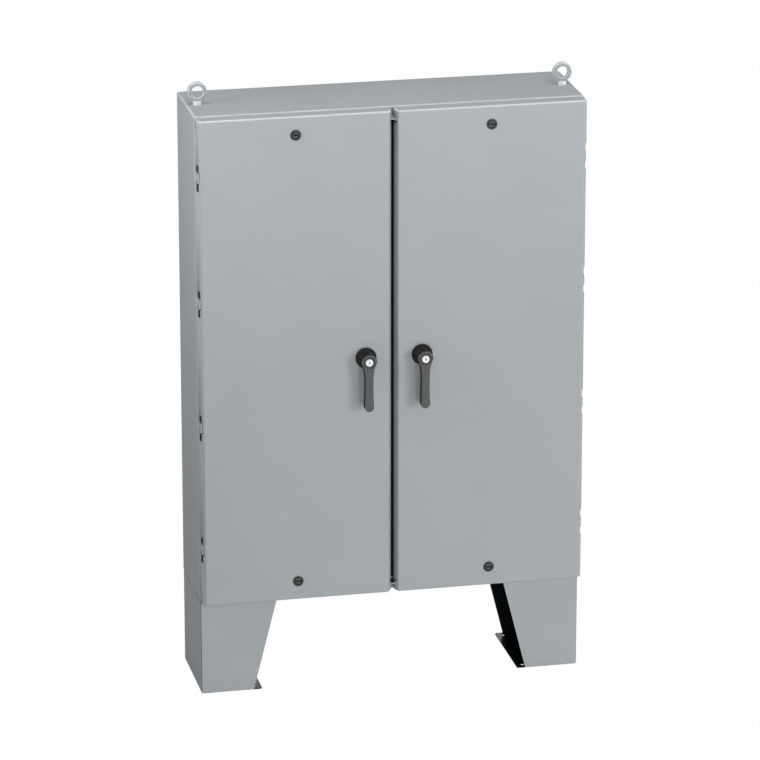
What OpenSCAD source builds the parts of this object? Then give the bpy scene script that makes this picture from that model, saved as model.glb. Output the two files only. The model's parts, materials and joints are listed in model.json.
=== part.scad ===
// Floor-standing two-door cabinet with an open-type double-throw transfer switch inside.
// Millimetres. +Z is up, -Y is the front, the origin is at floor level midway between the anchor holes.

/* [Cabinet] */
// Outside width of the body
body_w = 1219.2; // [1180:0.1:1300]
// Outside height of the body, without its legs
body_h = 1574.8; // [1540:0.1:1700]
// Depth of the body, without its doors
body_d = 304.8; // [296:0.1:340]
// Thickness of the body sheet
sheet = 2.7; // [2:0.1:3.5]
// Outside radius of the folded corners of the body
corner_r = 6; // [4:0.5:10]
// Width of the front flange, from the side of the body to the collar
flange_w = 40; // [38:1:46]
// How far the collar stands in front of the flange
collar_depth = 38; // [36:0.5:39]

/* [Legs] */
// Height of the legs
leg_h = 304.8; // [250:0.1:400]
// Width of a leg's front face at the top
leg_top_w = 245.6; // [220:0.1:260]
// Width of a leg's front face at the floor
leg_foot_w = 168; // [150:1:190]
// How far the foot plate reaches past the face, towards the middle
foot_reach = 27; // [22:1:40]
// Diameter of an anchor hole
anchor_hole_d = 14.3; // [11:0.1:18]
// Distance of an anchor hole from the front or rear of the leg
anchor_inset = 21.4; // [18:0.1:26]
// Distance of an anchor hole from the inner edge of the foot plate
anchor_edge = 22; // [18:1:30]

/* [Doors] */
// Thickness of the door sheet
door_sheet = 1.9; // [1.5:0.1:2.5]
// Depth of a door's side return, in front of the body
door_return = 36; // [35:0.5:38]
// Size of the 45 degree bevel along a door's outer upright edge
door_bevel = 12; // [10:0.5:12]
// Width of the steep bevel along the edges where the doors meet
edge_w = 8; // [6:0.5:10]
// Depth of that bevel
edge_d = 18; // [16:0.5:20]
// Gap between the two doors
door_gap = 11; // [9:0.5:12]
// Height of the door's bottom edge above the bottom of the body
door_lift = 7; // [5:0.5:10]
// Spacing of the hinges
hinge_pitch = 400; // [360:1:430]
// Height of a hinge window in the door's corner
window_h = 84; // [80:1:96]
// Height of the body knuckle in the middle of a window
knuckle_h = 31; // [28:1:34]
// Diameter of a hinge pin
pin_d = 6; // [5:0.5:7]

/* [Handles and latches] */
// Distance of a lever's axis from the middle of the cabinet
handle_x = 89; // [85:1:95]
// Diameter of the fixed handle base at the door
handle_base_d = 66; // [62:1:70]
// Diameter of the lever's hub
handle_hub_d = 50; // [46:1:52]
// Distance of the lever's front from the door
handle_stand_off = 55; // [50:1:60]
// Length of a lever, from its axis to its tip
lever_len = 160; // [140:1:180]
// Width of the lever's tip
lever_tip_w = 29.5; // [28:0.5:34]
// Width of the lever at its neck
lever_neck_w = 25; // [20:0.5:27]
// Diameter of the key plug
key_plug_d = 24; // [20:1:26]
// Distance of a quarter-turn latch from the middle of the cabinet
latch_x = 306.3; // [290:0.1:320]
// Distance of a quarter-turn latch from the door's top or bottom edge
latch_inset = 61; // [58:1:70]
// Diameter of a quarter-turn latch's rim
latch_rim_d = 34; // [30:1:38]
// Radius of the crank pins that move the latch rods
crank_r = 14; // [12:0.5:15]

/* [Lifting eyes] */
// Outside diameter of an eye
eye_od = 62; // [56:1:68]
// Bore of an eye
eye_id = 36; // [30:1:40]
// Thickness of an eye
eye_t = 16; // [12:1:20]
// Distance of an eye's axis from the side of the body
eye_inset = 34.6; // [30:0.1:40]

/* [Transfer switch] */
// Width of the mounting panel
panel_w = 1117; // [1080:1:1130]
// Height of the mounting panel
panel_h = 1448; // [1400:1:1460]
// Gap between the mounting panel and the rear panel
panel_gap = 22; // [18:1:26]
// Distance between the poles of the switch
pole_pitch = 115; // [110:1:125]
// Radius from the main shaft to the end of a contact arm
arm_r = 88; // [84:1:92]
// Angle of a contact arm above the middle when it closes on the normal source
throw_angle = 25; // [22:1:26]
// Height of the main shaft above the floor
shaft_z = 1120; // [1100:1:1140]

/* [Hidden] */
$fn = 48;
e = 0.5;
side_x = body_w / 2;
front_y = -body_d / 2;
rear_y = body_d / 2;
floor_of_body = leg_h;
top_z = leg_h + body_h;
mid_z = leg_h + body_h / 2;

// door pan
door_t = door_return + door_bevel;
door_y = front_y - door_t;
door_back_y = front_y - 2.5;
door_free_y = front_y - 12;
door_bottom = floor_of_body + door_lift;
door_top = top_z - 0.5;
door_mid = (door_bottom + door_top) / 2;
door_in_y = door_y + door_sheet;
inner_bend = door_sheet * tan(22.5);
edge_turn = atan(edge_d / edge_w);
edge_x = door_gap / 2 + edge_w;
edge_y = door_y + edge_d;
edge_in_x = edge_x + door_sheet * tan(edge_turn / 2);
edge_in_y = edge_y + door_sheet * tan(45 - edge_turn / 2);
relief_depth = 28;
relief_h = 31;

// door opening
open_inset = flange_w + sheet;
open_x = side_x - open_inset;
open_bottom = floor_of_body + open_inset;
open_top = top_z - open_inset;
collar_mid = flange_w + sheet / 2;
collar_play = 2.5;
post_x = 21;
gasket_w = 12;
gasket_x0 = edge_in_x + 0.4;
gasket_t = door_t - door_sheet - collar_depth - 0.5;

// hinges
knuckle_r = 5.8;
hinge_x = side_x - knuckle_r;
hinge_y = front_y - door_return + knuckle_r * tan(22.5);
hinge_zs = [for (k = [-1.5, -0.5, 0.5, 1.5]) door_mid + k * hinge_pitch];
pin_h = 110;
leaf_slot_h = knuckle_h + 4;

// handles and latches
handle_z = mid_z + 0.7;
shaft_d = 14;
hub_y = door_y - handle_stand_off;
hub_back = door_y - 26;
lever_t = 22;
neck_u = 0.58;
plate_y = front_y + 5;
plate_t = 4;
rod_y = plate_y + plate_t + 1;
rod_t = 3.2;
rod_w = 19;
crank_pin_d = 8;
crank_a = 45;
rod_offset = crank_r * 0.86;
rod_slot = crank_pin_d + 1.6;
cam_y = front_y + 4.5;
cam_t = 3;
latch_shank_d = 12;
latch_zs = [door_bottom + latch_inset, door_top - latch_inset];

// legs
foot_t = sheet + 1;

// eyes
eye_y = -10;
eye_z = top_z + 41.2;

// mounting panel
panel_t = 3;
panel_front = rear_y - sheet - panel_gap - panel_t;
stud_x = panel_w / 2 - 16.5;
stud_zs = [mid_z - panel_h / 2 + 40, mid_z, mid_z + panel_h / 2 - 40];
stud_d = 10;

// wiring ducts
duct_x = 480;
duct_w = 45;
duct_z0 = 480;
duct_z1 = 1720;

// transfer switch
shaft_y = panel_front - 110;
main_d = 24;
rotor_r = 24;
base_front = panel_front - 35;
barrier_t = 5;
base_w = 3 * pole_pitch + barrier_t;
base_h = 470;
pole_xs = [-pole_pitch, 0, pole_pitch];
arm_t = 14;
arm_w = 24;
contact_t = 4;
contact_gap = 0.4;
bar_w = 50;
bar_t = 8;
riser_y = 50;
load_y = base_front - shaft_y - bar_t;
load_x = 36;
load_w = 30;
load_len = 345;
crank_len = 35;
coil_x = -base_w / 2 - 62;
plunger_r = 9;
slot_play = 1.2;
lug_z = 250;

GREY = [0.66, 0.69, 0.70];
BLACK = [0.08, 0.08, 0.08];
ZINC = [0.75, 0.76, 0.78];

// ---- shapes that repeat ----

module box(lo, hi) {
    translate(lo) cube(hi - lo);
}

// a cylinder along X, Y or Z, from a point
module rod_x_axis(p, d, len) {
    translate(p) rotate([0, 90, 0]) cylinder(d = d, h = len);
}

module rod_y_axis(p, d, len) {
    translate(p) rotate([-90, 0, 0]) cylinder(d = d, h = len);
}

module rod_z_axis(p, d, len) {
    translate(p) cylinder(d = d, h = len);
}

// a profile drawn in Y and Z, made solid along X
module along_x(x0, x1) {
    translate([x0, 0, 0]) rotate([90, 0, 90]) linear_extrude(x1 - x0) children();
}

// a profile drawn in X and Z, made solid along Y
module along_y(y0, y1) {
    translate([0, y1, 0]) rotate([90, 0, 0]) linear_extrude(y1 - y0) children();
}

// a box whose corners, seen from the front, are rounded to radius r
module round_box(x0, x1, y0, y1, z0, z1, r) {
    box([x0 + r, y0, z0], [x1 - r, y1, z1]);
    box([x0, y0, z0 + r], [x1, y1, z1 - r]);
    for (x = [x0 + r, x1 - r], z = [z0 + r, z1 - r])
        rod_y_axis([x, y0, z], 2 * r, y1 - y0);
}

// a flat rectangular ring that faces the front
module ring(x0, x1, z0, z1, w, y0, y1) {
    difference() {
        box([x0, y0, z0], [x1, y1, z1]);
        box([x0 + w, y0 - 1, z0 + w], [x1 - w, y1 + 1, z1 - w]);
    }
}

module hex_nut(p, d, bore, h) {
    translate(p) difference() {
        cylinder(d = d, h = h, $fn = 6);
        translate([0, 0, -1]) cylinder(d = bore, h = h + 2);
    }
}

module on_left() {
    mirror([1, 0, 0]) children();
}

// ---- cabinet ----

// everything inside the body's wrap, between two depths
module inside_wrap(y0, y1) {
    round_box(-side_x + sheet, side_x - sheet, y0, y1,
        floor_of_body + sheet, top_z - sheet, corner_r - sheet);
}

module body_wrap() {
    color(GREY) difference() {
        round_box(-side_x, side_x, front_y, rear_y, floor_of_body, top_z, corner_r);
        inside_wrap(front_y - 1, rear_y + 1);
        for (sx = [-1, 1])
            rod_z_axis([sx * (side_x - eye_inset), eye_y, top_z - 10], 16.2, 20);
        leg_bolt_places() rod_z_axis([0, 0, floor_of_body - 5], 11, 20);
    }
}

module rear_panel() {
    color(GREY) inside_wrap(rear_y - sheet, rear_y);
}

module door_frame() {
    color(GREY) difference() {
        union() {
            inside_wrap(front_y, front_y + sheet);
            box([-open_x - sheet, front_y - collar_depth, open_bottom - sheet],
                [open_x + sheet, front_y + sheet, open_top + sheet]);
        }
        box([-open_x, front_y - collar_depth - 1, open_bottom],
            [open_x, front_y + 10, open_top]);
    }
}

// a channel open to the front, with a bolted tab at each end
module center_post() {
    z0 = open_bottom + 0.3;
    z1 = open_top - 0.3;
    back = front_y + sheet;
    color(GREY) {
        box([-post_x, front_y, z0], [post_x, back, z1]);
        for (sx = [-1, 1])
            translate([sx * (post_x - sheet / 2), 0, 0])
                box([-sheet / 2, front_y - collar_depth, z0], [sheet / 2, back, z1]);
        for (z = [open_bottom, open_top])
            box([-post_x, back, z - 25], [post_x, back + sheet, z + 25]);
        for (z = [open_bottom - 14, open_top + 14], x = [-11, 11])
            rod_y_axis([x, back + 1, z], 10, sheet + 3);
    }
}

// a block whose outer corners are rounded in plan and at its foot, a distance in from the leg's surface
module leg_block(x0, in_by, z0, z1) {
    r = corner_r - in_by;
    x1 = side_x - in_by;
    y0 = front_y + in_by;
    y1 = rear_y - in_by;
    intersection() {
        round_box(x0, x1, y0, y1, z0, z1 + 2 * corner_r, r);
        union() {
            box([x0, y0, z0], [x1 - r, y1, z1]);
            box([x0, y0 + r, z0], [x1, y1 - r, z1]);
            for (y = [y0 + r, y1 - r])
                rod_z_axis([x1 - r, y, z0], 2 * r, z1 - z0);
        }
    }
}

// the sloping channel of a leg, before its foot plate is added
module leg_channel() {
    difference() {
        intersection() {
            leg_block(side_x - leg_top_w - 2 * corner_r, 0, 0, leg_h);
            along_y(front_y - 1, rear_y + 1) polygon([
                [side_x - leg_foot_w, -1], [side_x + 1, -1],
                [side_x + 1, leg_h + 1], [side_x - leg_top_w, leg_h + 1]
            ]);
        }
        leg_block(side_x - leg_top_w - 8 * corner_r, sheet, foot_t, leg_h - sheet);
    }
}

// positions of the bolts between the legs and the body
module leg_bolt_places() {
    for (sx = [-1, 1], x = [40, leg_top_w - 40], y = [front_y + 45, rear_y - 45])
        translate([sx * (side_x - x), y, 0]) children();
}

module leg() {
    foot_x = side_x - leg_foot_w - foot_reach;
    hole_x = foot_x + anchor_edge;
    color(GREY) difference() {
        union() {
            leg_channel();
            box([foot_x + corner_r, front_y, 0], [side_x - 2 * corner_r, rear_y, foot_t]);
            box([foot_x, front_y + corner_r, 0], [foot_x + corner_r, rear_y - corner_r, foot_t]);
            for (y = [front_y + corner_r, rear_y - corner_r])
                rod_z_axis([foot_x + corner_r, y, 0], 2 * corner_r, foot_t);
        }
        for (y = [front_y + anchor_inset, rear_y - anchor_inset])
            rod_z_axis([hole_x, y, -1], anchor_hole_d, 10);
        leg_bolt_places() rod_z_axis([0, 0, leg_h - 10], 11, 20);
    }
}

module left_leg() on_left() leg();

module right_leg() leg();

module leg_bolts() {
    color(ZINC) leg_bolt_places() {
        rod_z_axis([0, 0, leg_h - sheet - 7], 10, 2 * sheet + 20);
        translate([0, 0, leg_h - sheet - 7]) cylinder(d = 18, h = 7, $fn = 6);
    }
}

module lifting_eyes() {
    neck_d = 26;
    color(GREY) for (sx = [-1, 1]) translate([sx * (side_x - eye_inset), eye_y, 0]) {
        difference() {
            union() {
                rotate([90, 0, 0]) translate([0, eye_z, 0]) rotate_extrude($fn = 64) polygon([
                    [eye_id / 2, -eye_t / 2 + 3], [eye_id / 2 + 3, -eye_t / 2],
                    [eye_od / 2 - 4, -eye_t / 2], [eye_od / 2, -eye_t / 2 + 4],
                    [eye_od / 2, eye_t / 2 - 4], [eye_od / 2 - 4, eye_t / 2],
                    [eye_id / 2 + 3, eye_t / 2], [eye_id / 2, eye_t / 2 - 3]
                ]);
                rod_z_axis([0, 0, top_z], neck_d, eye_z - eye_od / 2 + 1.5 - top_z);
            }
            translate([0, -20, eye_z]) rotate([-90, 0, 0]) cylinder(d = eye_id, h = 40, $fn = 64);
        }
        rod_z_axis([0, 0, top_z - sheet - 22], 16, sheet + 22);
    }
}

module hex_nuts() {
    color(ZINC) {
        for (sx = [-1, 1])
            translate([sx * (side_x - eye_inset), eye_y, top_z - sheet - 16])
                hex_nut([0, 0, 0], 28, 16.1, 16);
        leg_bolt_places() hex_nut([0, 0, leg_h + sheet], 19, 10.1, 9);
        for (sx = [-1, 1], z = stud_zs)
            translate([sx * stud_x, panel_front, z]) rotate([90, 0, 0])
                hex_nut([0, 0, 0], 19, stud_d + 0.1, 9);
    }
}

// ---- hinges ----

// body leaf: a foot welded to the front flange, an arm and a knuckle
module hinge_leaf(z) {
    arm_x = hinge_x - 1.5;
    translate([0, 0, z - knuckle_h / 2]) difference() {
        union() {
            rod_z_axis([hinge_x, hinge_y, 0], 2 * knuckle_r, knuckle_h);
            box([arm_x, hinge_y, 0], [arm_x + 4, front_y, knuckle_h]);
            box([arm_x - 32, front_y - 3, 0], [arm_x + 4, front_y, knuckle_h]);
        }
        rod_z_axis([hinge_x, hinge_y, -1], pin_d + 0.1, knuckle_h + 2);
    }
}

module hinge_leaves() {
    color(GREY) for (z = hinge_zs) {
        hinge_leaf(z);
        on_left() hinge_leaf(z);
    }
}

module hinge_pins() {
    color(ZINC) for (z = hinge_zs, sx = [-1, 1])
        rod_z_axis([sx * hinge_x, hinge_y, z - pin_h / 2], pin_d, pin_h);
}

// door bracket: one solid ear above and one below the window
module hinge_brackets() {
    ear_h = 9;
    x0 = side_x - 20;
    color(GREY) for (z = hinge_zs, s = [-1, 1])
        translate([0, 0, z + s * (window_h / 2 + ear_h / 2 + 1) - ear_h / 2]) difference() {
            linear_extrude(ear_h) polygon([
                [side_x - door_sheet, front_y - 22],
                [side_x - door_sheet, front_y - door_return + inner_bend],
                [side_x - door_bevel - inner_bend, door_in_y],
                [x0, door_in_y],
                [x0, front_y - 22]
            ]);
            rod_z_axis([hinge_x, hinge_y, -1], pin_d + 0.1, ear_h + 2);
        }
}

module left_hinge_brackets() on_left() hinge_brackets();

module right_hinge_brackets() hinge_brackets();

// ---- doors ----

// plan of the pan: the outside, then the inside one sheet thickness in
function pan_outside() = [
    [side_x, door_back_y], [side_x, front_y - door_return],
    [side_x - door_bevel, door_y], [edge_x, door_y],
    [door_gap / 2, edge_y], [door_gap / 2, door_free_y]
];

// plan of its top and bottom returns
function pan_end() = [
    [side_x, door_back_y], [side_x, front_y - door_return],
    [side_x - door_bevel, door_y], [edge_x, door_y],
    [door_gap / 2, edge_y], [door_gap / 2, door_free_y],
    [door_gap / 2 + door_back_y - door_free_y, door_back_y]
];

function pan_inside() = [
    [door_gap / 2 + door_sheet, door_free_y],
    [door_gap / 2 + door_sheet, edge_in_y],
    [edge_in_x, door_in_y],
    [side_x - door_bevel - inner_bend, door_in_y],
    [side_x - door_sheet, front_y - door_return + inner_bend],
    [side_x - door_sheet, door_back_y]
];

module door() {
    color(GREY) difference() {
        union() {
            translate([0, 0, door_bottom]) linear_extrude(door_top - door_bottom)
                polygon(concat(pan_outside(), pan_inside()));
            for (z = [door_bottom, door_top - door_sheet])
                translate([0, 0, z]) linear_extrude(door_sheet) polygon(pan_end());
        }
        for (z = [door_bottom + door_sheet, door_top - relief_h])
            box([side_x - door_sheet - e, door_back_y - relief_depth, z],
                [side_x + e, front_y, z + relief_h - door_sheet]);
        for (z = [open_bottom - sheet / 2, open_top + sheet / 2])
            box([0, front_y - collar_depth - collar_play, z - sheet / 2 - collar_play],
                [edge_x, front_y, z + sheet / 2 + collar_play]);
        for (z = hinge_zs) {
            box([side_x - 4.2, front_y - door_return - 5, z - window_h / 2],
                [side_x + e, front_y - door_return + 5, z + window_h / 2]);
            box([side_x - 6.6, front_y - door_return - 7, z - leaf_slot_h / 2],
                [side_x + e, front_y, z + leaf_slot_h / 2]);
        }
        rod_y_axis([handle_x, door_y - 5, handle_z], 24, 20);
        for (z = latch_zs)
            rod_y_axis([latch_x, door_y - 5, z], 22.5, 20);
    }
}

module left_door() on_left() door();

module right_door() door();

module door_gasket() {
    color(BLACK) ring(
        gasket_x0, side_x - collar_mid + gasket_w / 2,
        floor_of_body + collar_mid - gasket_w / 2, top_z - collar_mid + gasket_w / 2,
        gasket_w, door_in_y, door_in_y + gasket_t);
}

module left_door_gasket() on_left() door_gasket();

module right_door_gasket() door_gasket();

// a hat channel on the door's inside, with tabs that guide the latch rods
module door_stiffener() {
    x0 = handle_x + 42;
    x1 = x0 + 50;
    back = front_y - 4;
    z0 = door_bottom + 110;
    z1 = door_top - 110;
    tab_zs = [z0 + 40, handle_z - 150, handle_z + 150, z1 - 40];
    color(GREY) difference() {
        union() {
            for (x = [x0, x1 - 2]) box([x, door_in_y, z0], [x + 2, back, z1]);
            box([x0, back - 2, z0], [x1, back, z1]);
            for (x = [x0 - 16, x1 - 2]) box([x, door_in_y, z0], [x + 18, door_in_y + 2, z1]);
            for (z = tab_zs) {
                box([x0, back - 2, z - 1.5], [x0 + 20, rod_y + 12, z + 1.5]);
                box([handle_x - 32, rod_y - 5, z - 1.5], [x0 + 20, rod_y + 12, z + 1.5]);
            }
        }
        for (s = [-1, 1])
            translate([handle_x + s * rod_offset, 0, 0])
                box([-rod_w / 2 - 0.5, rod_y - 0.5, z0],
                    [rod_w / 2 + 0.5, rod_y + rod_t + 0.5, z1]);
    }
}

module left_door_stiffener() on_left() door_stiffener();

module right_door_stiffener() door_stiffener();

module document_pocket() {
    w = 300;
    h = 300;
    d = 26;
    z0 = 620;
    x0 = -side_x + 70;
    color([0.75, 0.76, 0.74]) difference() {
        box([x0, door_in_y, z0], [x0 + w, door_in_y + d, z0 + h]);
        box([x0 + 3, door_in_y + 3, z0 + 3], [x0 + w - 3, door_in_y + d - 3, z0 + h + 1]);
        translate([x0 + w / 2, door_in_y + d - 5, z0 + h]) rotate([-90, 0, 0])
            cylinder(r = 60, h = 10);
    }
}

// ---- handles ----

module handle_base() {
    color(BLACK) translate([handle_x, 0, handle_z]) difference() {
        rotate([90, 0, 0]) translate([0, 0, -door_y]) rotate_extrude($fn = 64) polygon([
            [0, 0], [handle_base_d / 2, 0], [handle_base_d / 2, 5],
            [handle_base_d / 2 - 2, 8], [handle_base_d / 2 - 4, 8],
            [handle_base_d / 2 - 4.5, 13], [handle_base_d / 2 - 6, 13],
            [handle_base_d / 2 - 6.5, 18], [handle_base_d / 2 - 8, 18],
            [handle_base_d / 2 - 8.5, 25.4], [0, 25.4]
        ]);
        rod_y_axis([0, door_y - 60, 0], shaft_d + 0.8, 120);
    }
    color(BLACK) translate([handle_x, 0, handle_z]) difference() {
        rod_y_axis([0, door_y, 0], 23.6, 14);
        rod_y_axis([0, door_y - 60, 0], shaft_d + 0.8, 120);
    }
}

module left_handle_base() on_left() handle_base();

module right_handle_base() handle_base();

// half width of the lever at a share of its length: from the hub it narrows to the neck,
// and past the neck it widens to the tip
function lever_half(u) = lever_neck_w / 2
    + (lever_tip_w - lever_neck_w) / 2 * pow(max(0, (u - neck_u) / (1 - neck_u)), 2)
    + (handle_hub_d - lever_neck_w) / 2 * pow(max(0, 1 - u / neck_u), 3.7);

module lever() {
    tip = lever_len - lever_tip_w / 2;
    us = [for (i = [0 : 16]) i / 16];
    color(BLACK) translate([handle_x, 0, handle_z]) difference() {
        union() {
            rod_y_axis([0, hub_y, 0], handle_hub_d, hub_back - hub_y);
            along_y(hub_y, hub_y + lever_t) polygon(concat(
                [for (u = us) [lever_half(u), -u * tip]],
                [for (i = [1 : 11]) lever_tip_w / 2 * [cos(i * 15), -sin(i * 15)] - [0, tip]],
                [for (i = [16 : -1 : 0]) [-lever_half(us[i]), -us[i] * tip]]
            ));
        }
        rod_y_axis([0, hub_y - 1, 0], key_plug_d + 0.8, 19);
        rod_y_axis([0, hub_y, 0], shaft_d + 0.1, 100);
    }
}

module left_lever() on_left() lever();

module right_lever() lever();

module key_plug() {
    color(ZINC) translate([handle_x, 0, handle_z]) difference() {
        rod_y_axis([0, hub_y - 1.2, 0], key_plug_d, 18.5);
        box([-1.2, hub_y - 3, -4.5], [1.2, hub_y + 8, 4.5]);
    }
}

module left_key_plug() on_left() key_plug();

module right_key_plug() key_plug();

// shaft, plate with the centre pawl, and two crank pins
module latch_plate() {
    pawl = handle_x - 13;
    color(ZINC) translate([handle_x, 0, handle_z]) {
        rod_y_axis([0, hub_y + 18.2, 0], shaft_d, plate_y + plate_t - hub_y - 18.2);
        rod_y_axis([0, plate_y, 0], 44, plate_t);
        box([-10, plate_y, 0], [10, plate_y + plate_t, pawl]);
        for (s = [-1, 1])
            rod_y_axis([s * crank_r * cos(crank_a), plate_y, -s * crank_r * sin(crank_a)], crank_pin_d,
                plate_t + rod_t + 3);
    }
}

module left_latch_plate() on_left() latch_plate();

module right_latch_plate() latch_plate();

// a flat rod with a cross slot for its crank pin and a tapered end, side s of the lever's axis
module latch_rod(s) {
    x = handle_x + s * rod_offset;
    pin_z = handle_z - s * crank_r * sin(crank_a);
    end_z = s > 0 ? open_top - 5 : open_bottom + 5;
    play = crank_r - rod_offset + 1;
    yoke = rod_offset - 0.6;
    color(ZINC) difference() {
        union() {
            box([x - rod_w / 2, rod_y, min(pin_z, end_z)],
                [x + rod_w / 2, rod_y + rod_t, max(pin_z, end_z)]);
            box([x - yoke, rod_y, pin_z - 12], [x + yoke, rod_y + rod_t, pin_z + 12]);
        }
        translate([x, rod_y - 1, pin_z]) {
            box([-play, 0, -rod_slot / 2], [play, rod_t + 2, rod_slot / 2]);
            for (q = [-play, play]) rod_y_axis([q, 0, 0], rod_slot, rod_t + 2);
        }
        for (q = [-1, 1]) translate([x + q * rod_w / 2, rod_y - 1, end_z]) rotate([0, 45, 0])
            box([-5, 0, -5], [5, rod_t + 2, 5]);
    }
}

module left_upper_rod() on_left() latch_rod(1);

module left_lower_rod() on_left() latch_rod(-1);

module right_upper_rod() latch_rod(1);

module right_lower_rod() latch_rod(-1);

// ---- quarter-turn latches ----

module latch_housings() {
    color(BLACK) for (z = latch_zs) translate([latch_x, 0, z]) difference() {
        union() {
            rotate([90, 0, 0]) translate([0, 0, -door_y]) rotate_extrude($fn = 48) polygon([
                [0, 0], [latch_rim_d / 2, 0], [latch_rim_d / 2, 2],
                [latch_rim_d / 2 - 3, 5], [0, 5]
            ]);
            rod_y_axis([0, door_y, 0], 22, 22);
            translate([0, door_in_y, 0]) rotate([-90, 0, 0]) cylinder(d = 28, h = 6, $fn = 6);
        }
        rod_y_axis([0, door_y - 6, 0], 19, 8);
        rod_y_axis([0, door_y - 10, 0], latch_shank_d + 0.8, 60);
    }
}

module left_latch_housings() on_left() latch_housings();

module right_latch_housings() latch_housings();

// slotted insert, shank and cam; the cam turns behind the door frame, side s
module quarter_turn(s) {
    z = s > 0 ? latch_zs[1] : latch_zs[0];
    color(BLACK) translate([latch_x, 0, z]) difference() {
        union() {
            rod_y_axis([0, door_y - 4.4, 0], 18, 6);
            rod_y_axis([0, door_y, 0], latch_shank_d, cam_y - door_y);
            rod_y_axis([0, cam_y, 0], 20, cam_t);
            box([0, cam_y, -8], [38, cam_y + cam_t, 8]);
            translate([0, cam_y + cam_t, 0]) rotate([-90, 0, 0]) cylinder(d = 15, h = 4, $fn = 6);
        }
        box([-7, door_y - 5, -1.1], [7, door_y - 1.5, 1.1]);
    }
}

module left_top_latch() on_left() quarter_turn(1);

module left_bottom_latch() on_left() quarter_turn(-1);

module right_top_latch() quarter_turn(1);

module right_bottom_latch() quarter_turn(-1);

// ---- mounting panel and what it carries ----

module panel_studs() {
    color(ZINC) for (sx = [-1, 1], z = stud_zs) {
        rod_y_axis([sx * stud_x, panel_front - 14, z], stud_d, rear_y - sheet - panel_front + 14);
        rod_y_axis([sx * stud_x, panel_front + panel_t, z], 20, panel_gap);
    }
}

module mounting_panel() {
    z0 = mid_z - panel_h / 2;
    color([0.9, 0.9, 0.88]) difference() {
        box([-panel_w / 2, panel_front, z0], [panel_w / 2, panel_front + panel_t, z0 + panel_h]);
        for (sx = [-1, 1], z = stud_zs)
            rod_y_axis([sx * stud_x, panel_front - 1, z], stud_d + 1, panel_t + 2);
    }
}

// a drilled copper bar on two zinc plated blocks
module ground_bar() {
    z0 = 420;
    bar_h = 25;
    back = panel_front - 10;
    color([0.72, 0.45, 0.2]) difference() {
        box([60, back - 6, z0], [360, back, z0 + bar_h]);
        for (i = [0 : 9]) rod_y_axis([80 + i * 29, back - 10, z0 + bar_h / 2], 6.5, 20);
    }
    color(ZINC) for (x = [70, 335])
        box([x, back, z0], [x + 15, panel_front, z0 + bar_h]);
}

// a drilled copper bar on two moulded insulators
module neutral_bar() {
    x0 = 330;
    z0 = 800;
    z1 = 1150;
    back = panel_front - 40;
    color([0.72, 0.45, 0.2]) difference() {
        box([x0, back - bar_t, z0], [x0 + bar_w, back, z1]);
        for (z = [z0 + 30 : 70 : z1 - 30]) rod_y_axis([x0 + bar_w / 2, back - 10, z], 10.5, 20);
    }
    color([0.5, 0.1, 0.08]) for (z = [z0 + 65, z1 - 65])
        rod_y_axis([x0 + bar_w / 2, back, z], 34, 40);
}

module duct(x0, x1, z0, z1, upright) {
    d = 60;
    w = 2;
    length = upright ? z1 - z0 : x1 - x0;
    count = floor(length / 60);
    difference() {
        box([x0, panel_front - d, z0], [x1, panel_front, z1]);
        box([x0 + w, panel_front - d + w, z0 + w], [x1 - w, panel_front - w, z1 - w]);
        for (i = [0 : count - 1])
            if (upright)
                box([x0 - 1, panel_front - d + 12, z0 + 25 + i * 60],
                    [x1 + 1, panel_front - 12, z0 + 35 + i * 60]);
            else
                box([x0 + 25 + i * 60, panel_front - d + 12, z0 - 1],
                    [x0 + 35 + i * 60, panel_front - 12, z1 + 1]);
    }
}

module wiring_ducts() {
    color([0.72, 0.73, 0.74]) {
        for (x = [-duct_x - duct_w, duct_x]) duct(x, x + duct_w, duct_z0, duct_z1, true);
        duct(-duct_x + 1, duct_x - 1, duct_z1 - duct_w, duct_z1, false);
    }
}

module terminal_blocks() {
    z = 1440;
    x0 = -455;
    color(ZINC) box([x0, panel_front - 8, z - 17], [x0 + 190, panel_front, z + 17]);
    color([0.55, 0.57, 0.58]) for (i = [0 : 11]) translate([x0 + 6 + i * 15, 0, 0]) difference() {
        box([0, panel_front - 48, z - 30], [14, panel_front - 8, z + 30]);
        for (s = [-1, 1]) rod_y_axis([7, panel_front - 50, z + s * 20], 6, 12);
    }
}

// two transformers: a core of two yokes and two limbs on a foot plate, round a winding
module control_transformer() {
    z0 = 620;
    core_w = 110;
    core_h = 104;
    yoke = 30;
    limb = 20;
    foot = 4;
    front = panel_front - 88;
    back = panel_front - foot;
    for (x0 = [-445, -295]) {
        color([0.25, 0.26, 0.28]) {
            for (z = [z0, z0 + core_h - yoke])
                box([x0, front, z], [x0 + core_w, back, z + yoke]);
            for (x = [x0, x0 + core_w - limb])
                box([x, front, z0 + yoke], [x + limb, back, z0 + core_h - yoke]);
            box([x0 - 10, back, z0 - 12], [x0 + core_w + 10, panel_front, z0 + core_h + 12]);
        }
        color([0.6, 0.35, 0.12])
            box([x0 + limb + 2, front - 12, z0 + yoke + 1],
                [x0 + core_w - limb - 2, back - 2, z0 + core_h - yoke - 1]);
    }
}

module controller_case() {
    color([0.2, 0.21, 0.22]) difference() {
        round_box(-465, -225, panel_front - 78, panel_front, 1480, 1650, 8);
        round_box(-455, -235, panel_front - 79, panel_front - 74, 1490, 1640, 5);
    }
}

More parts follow.
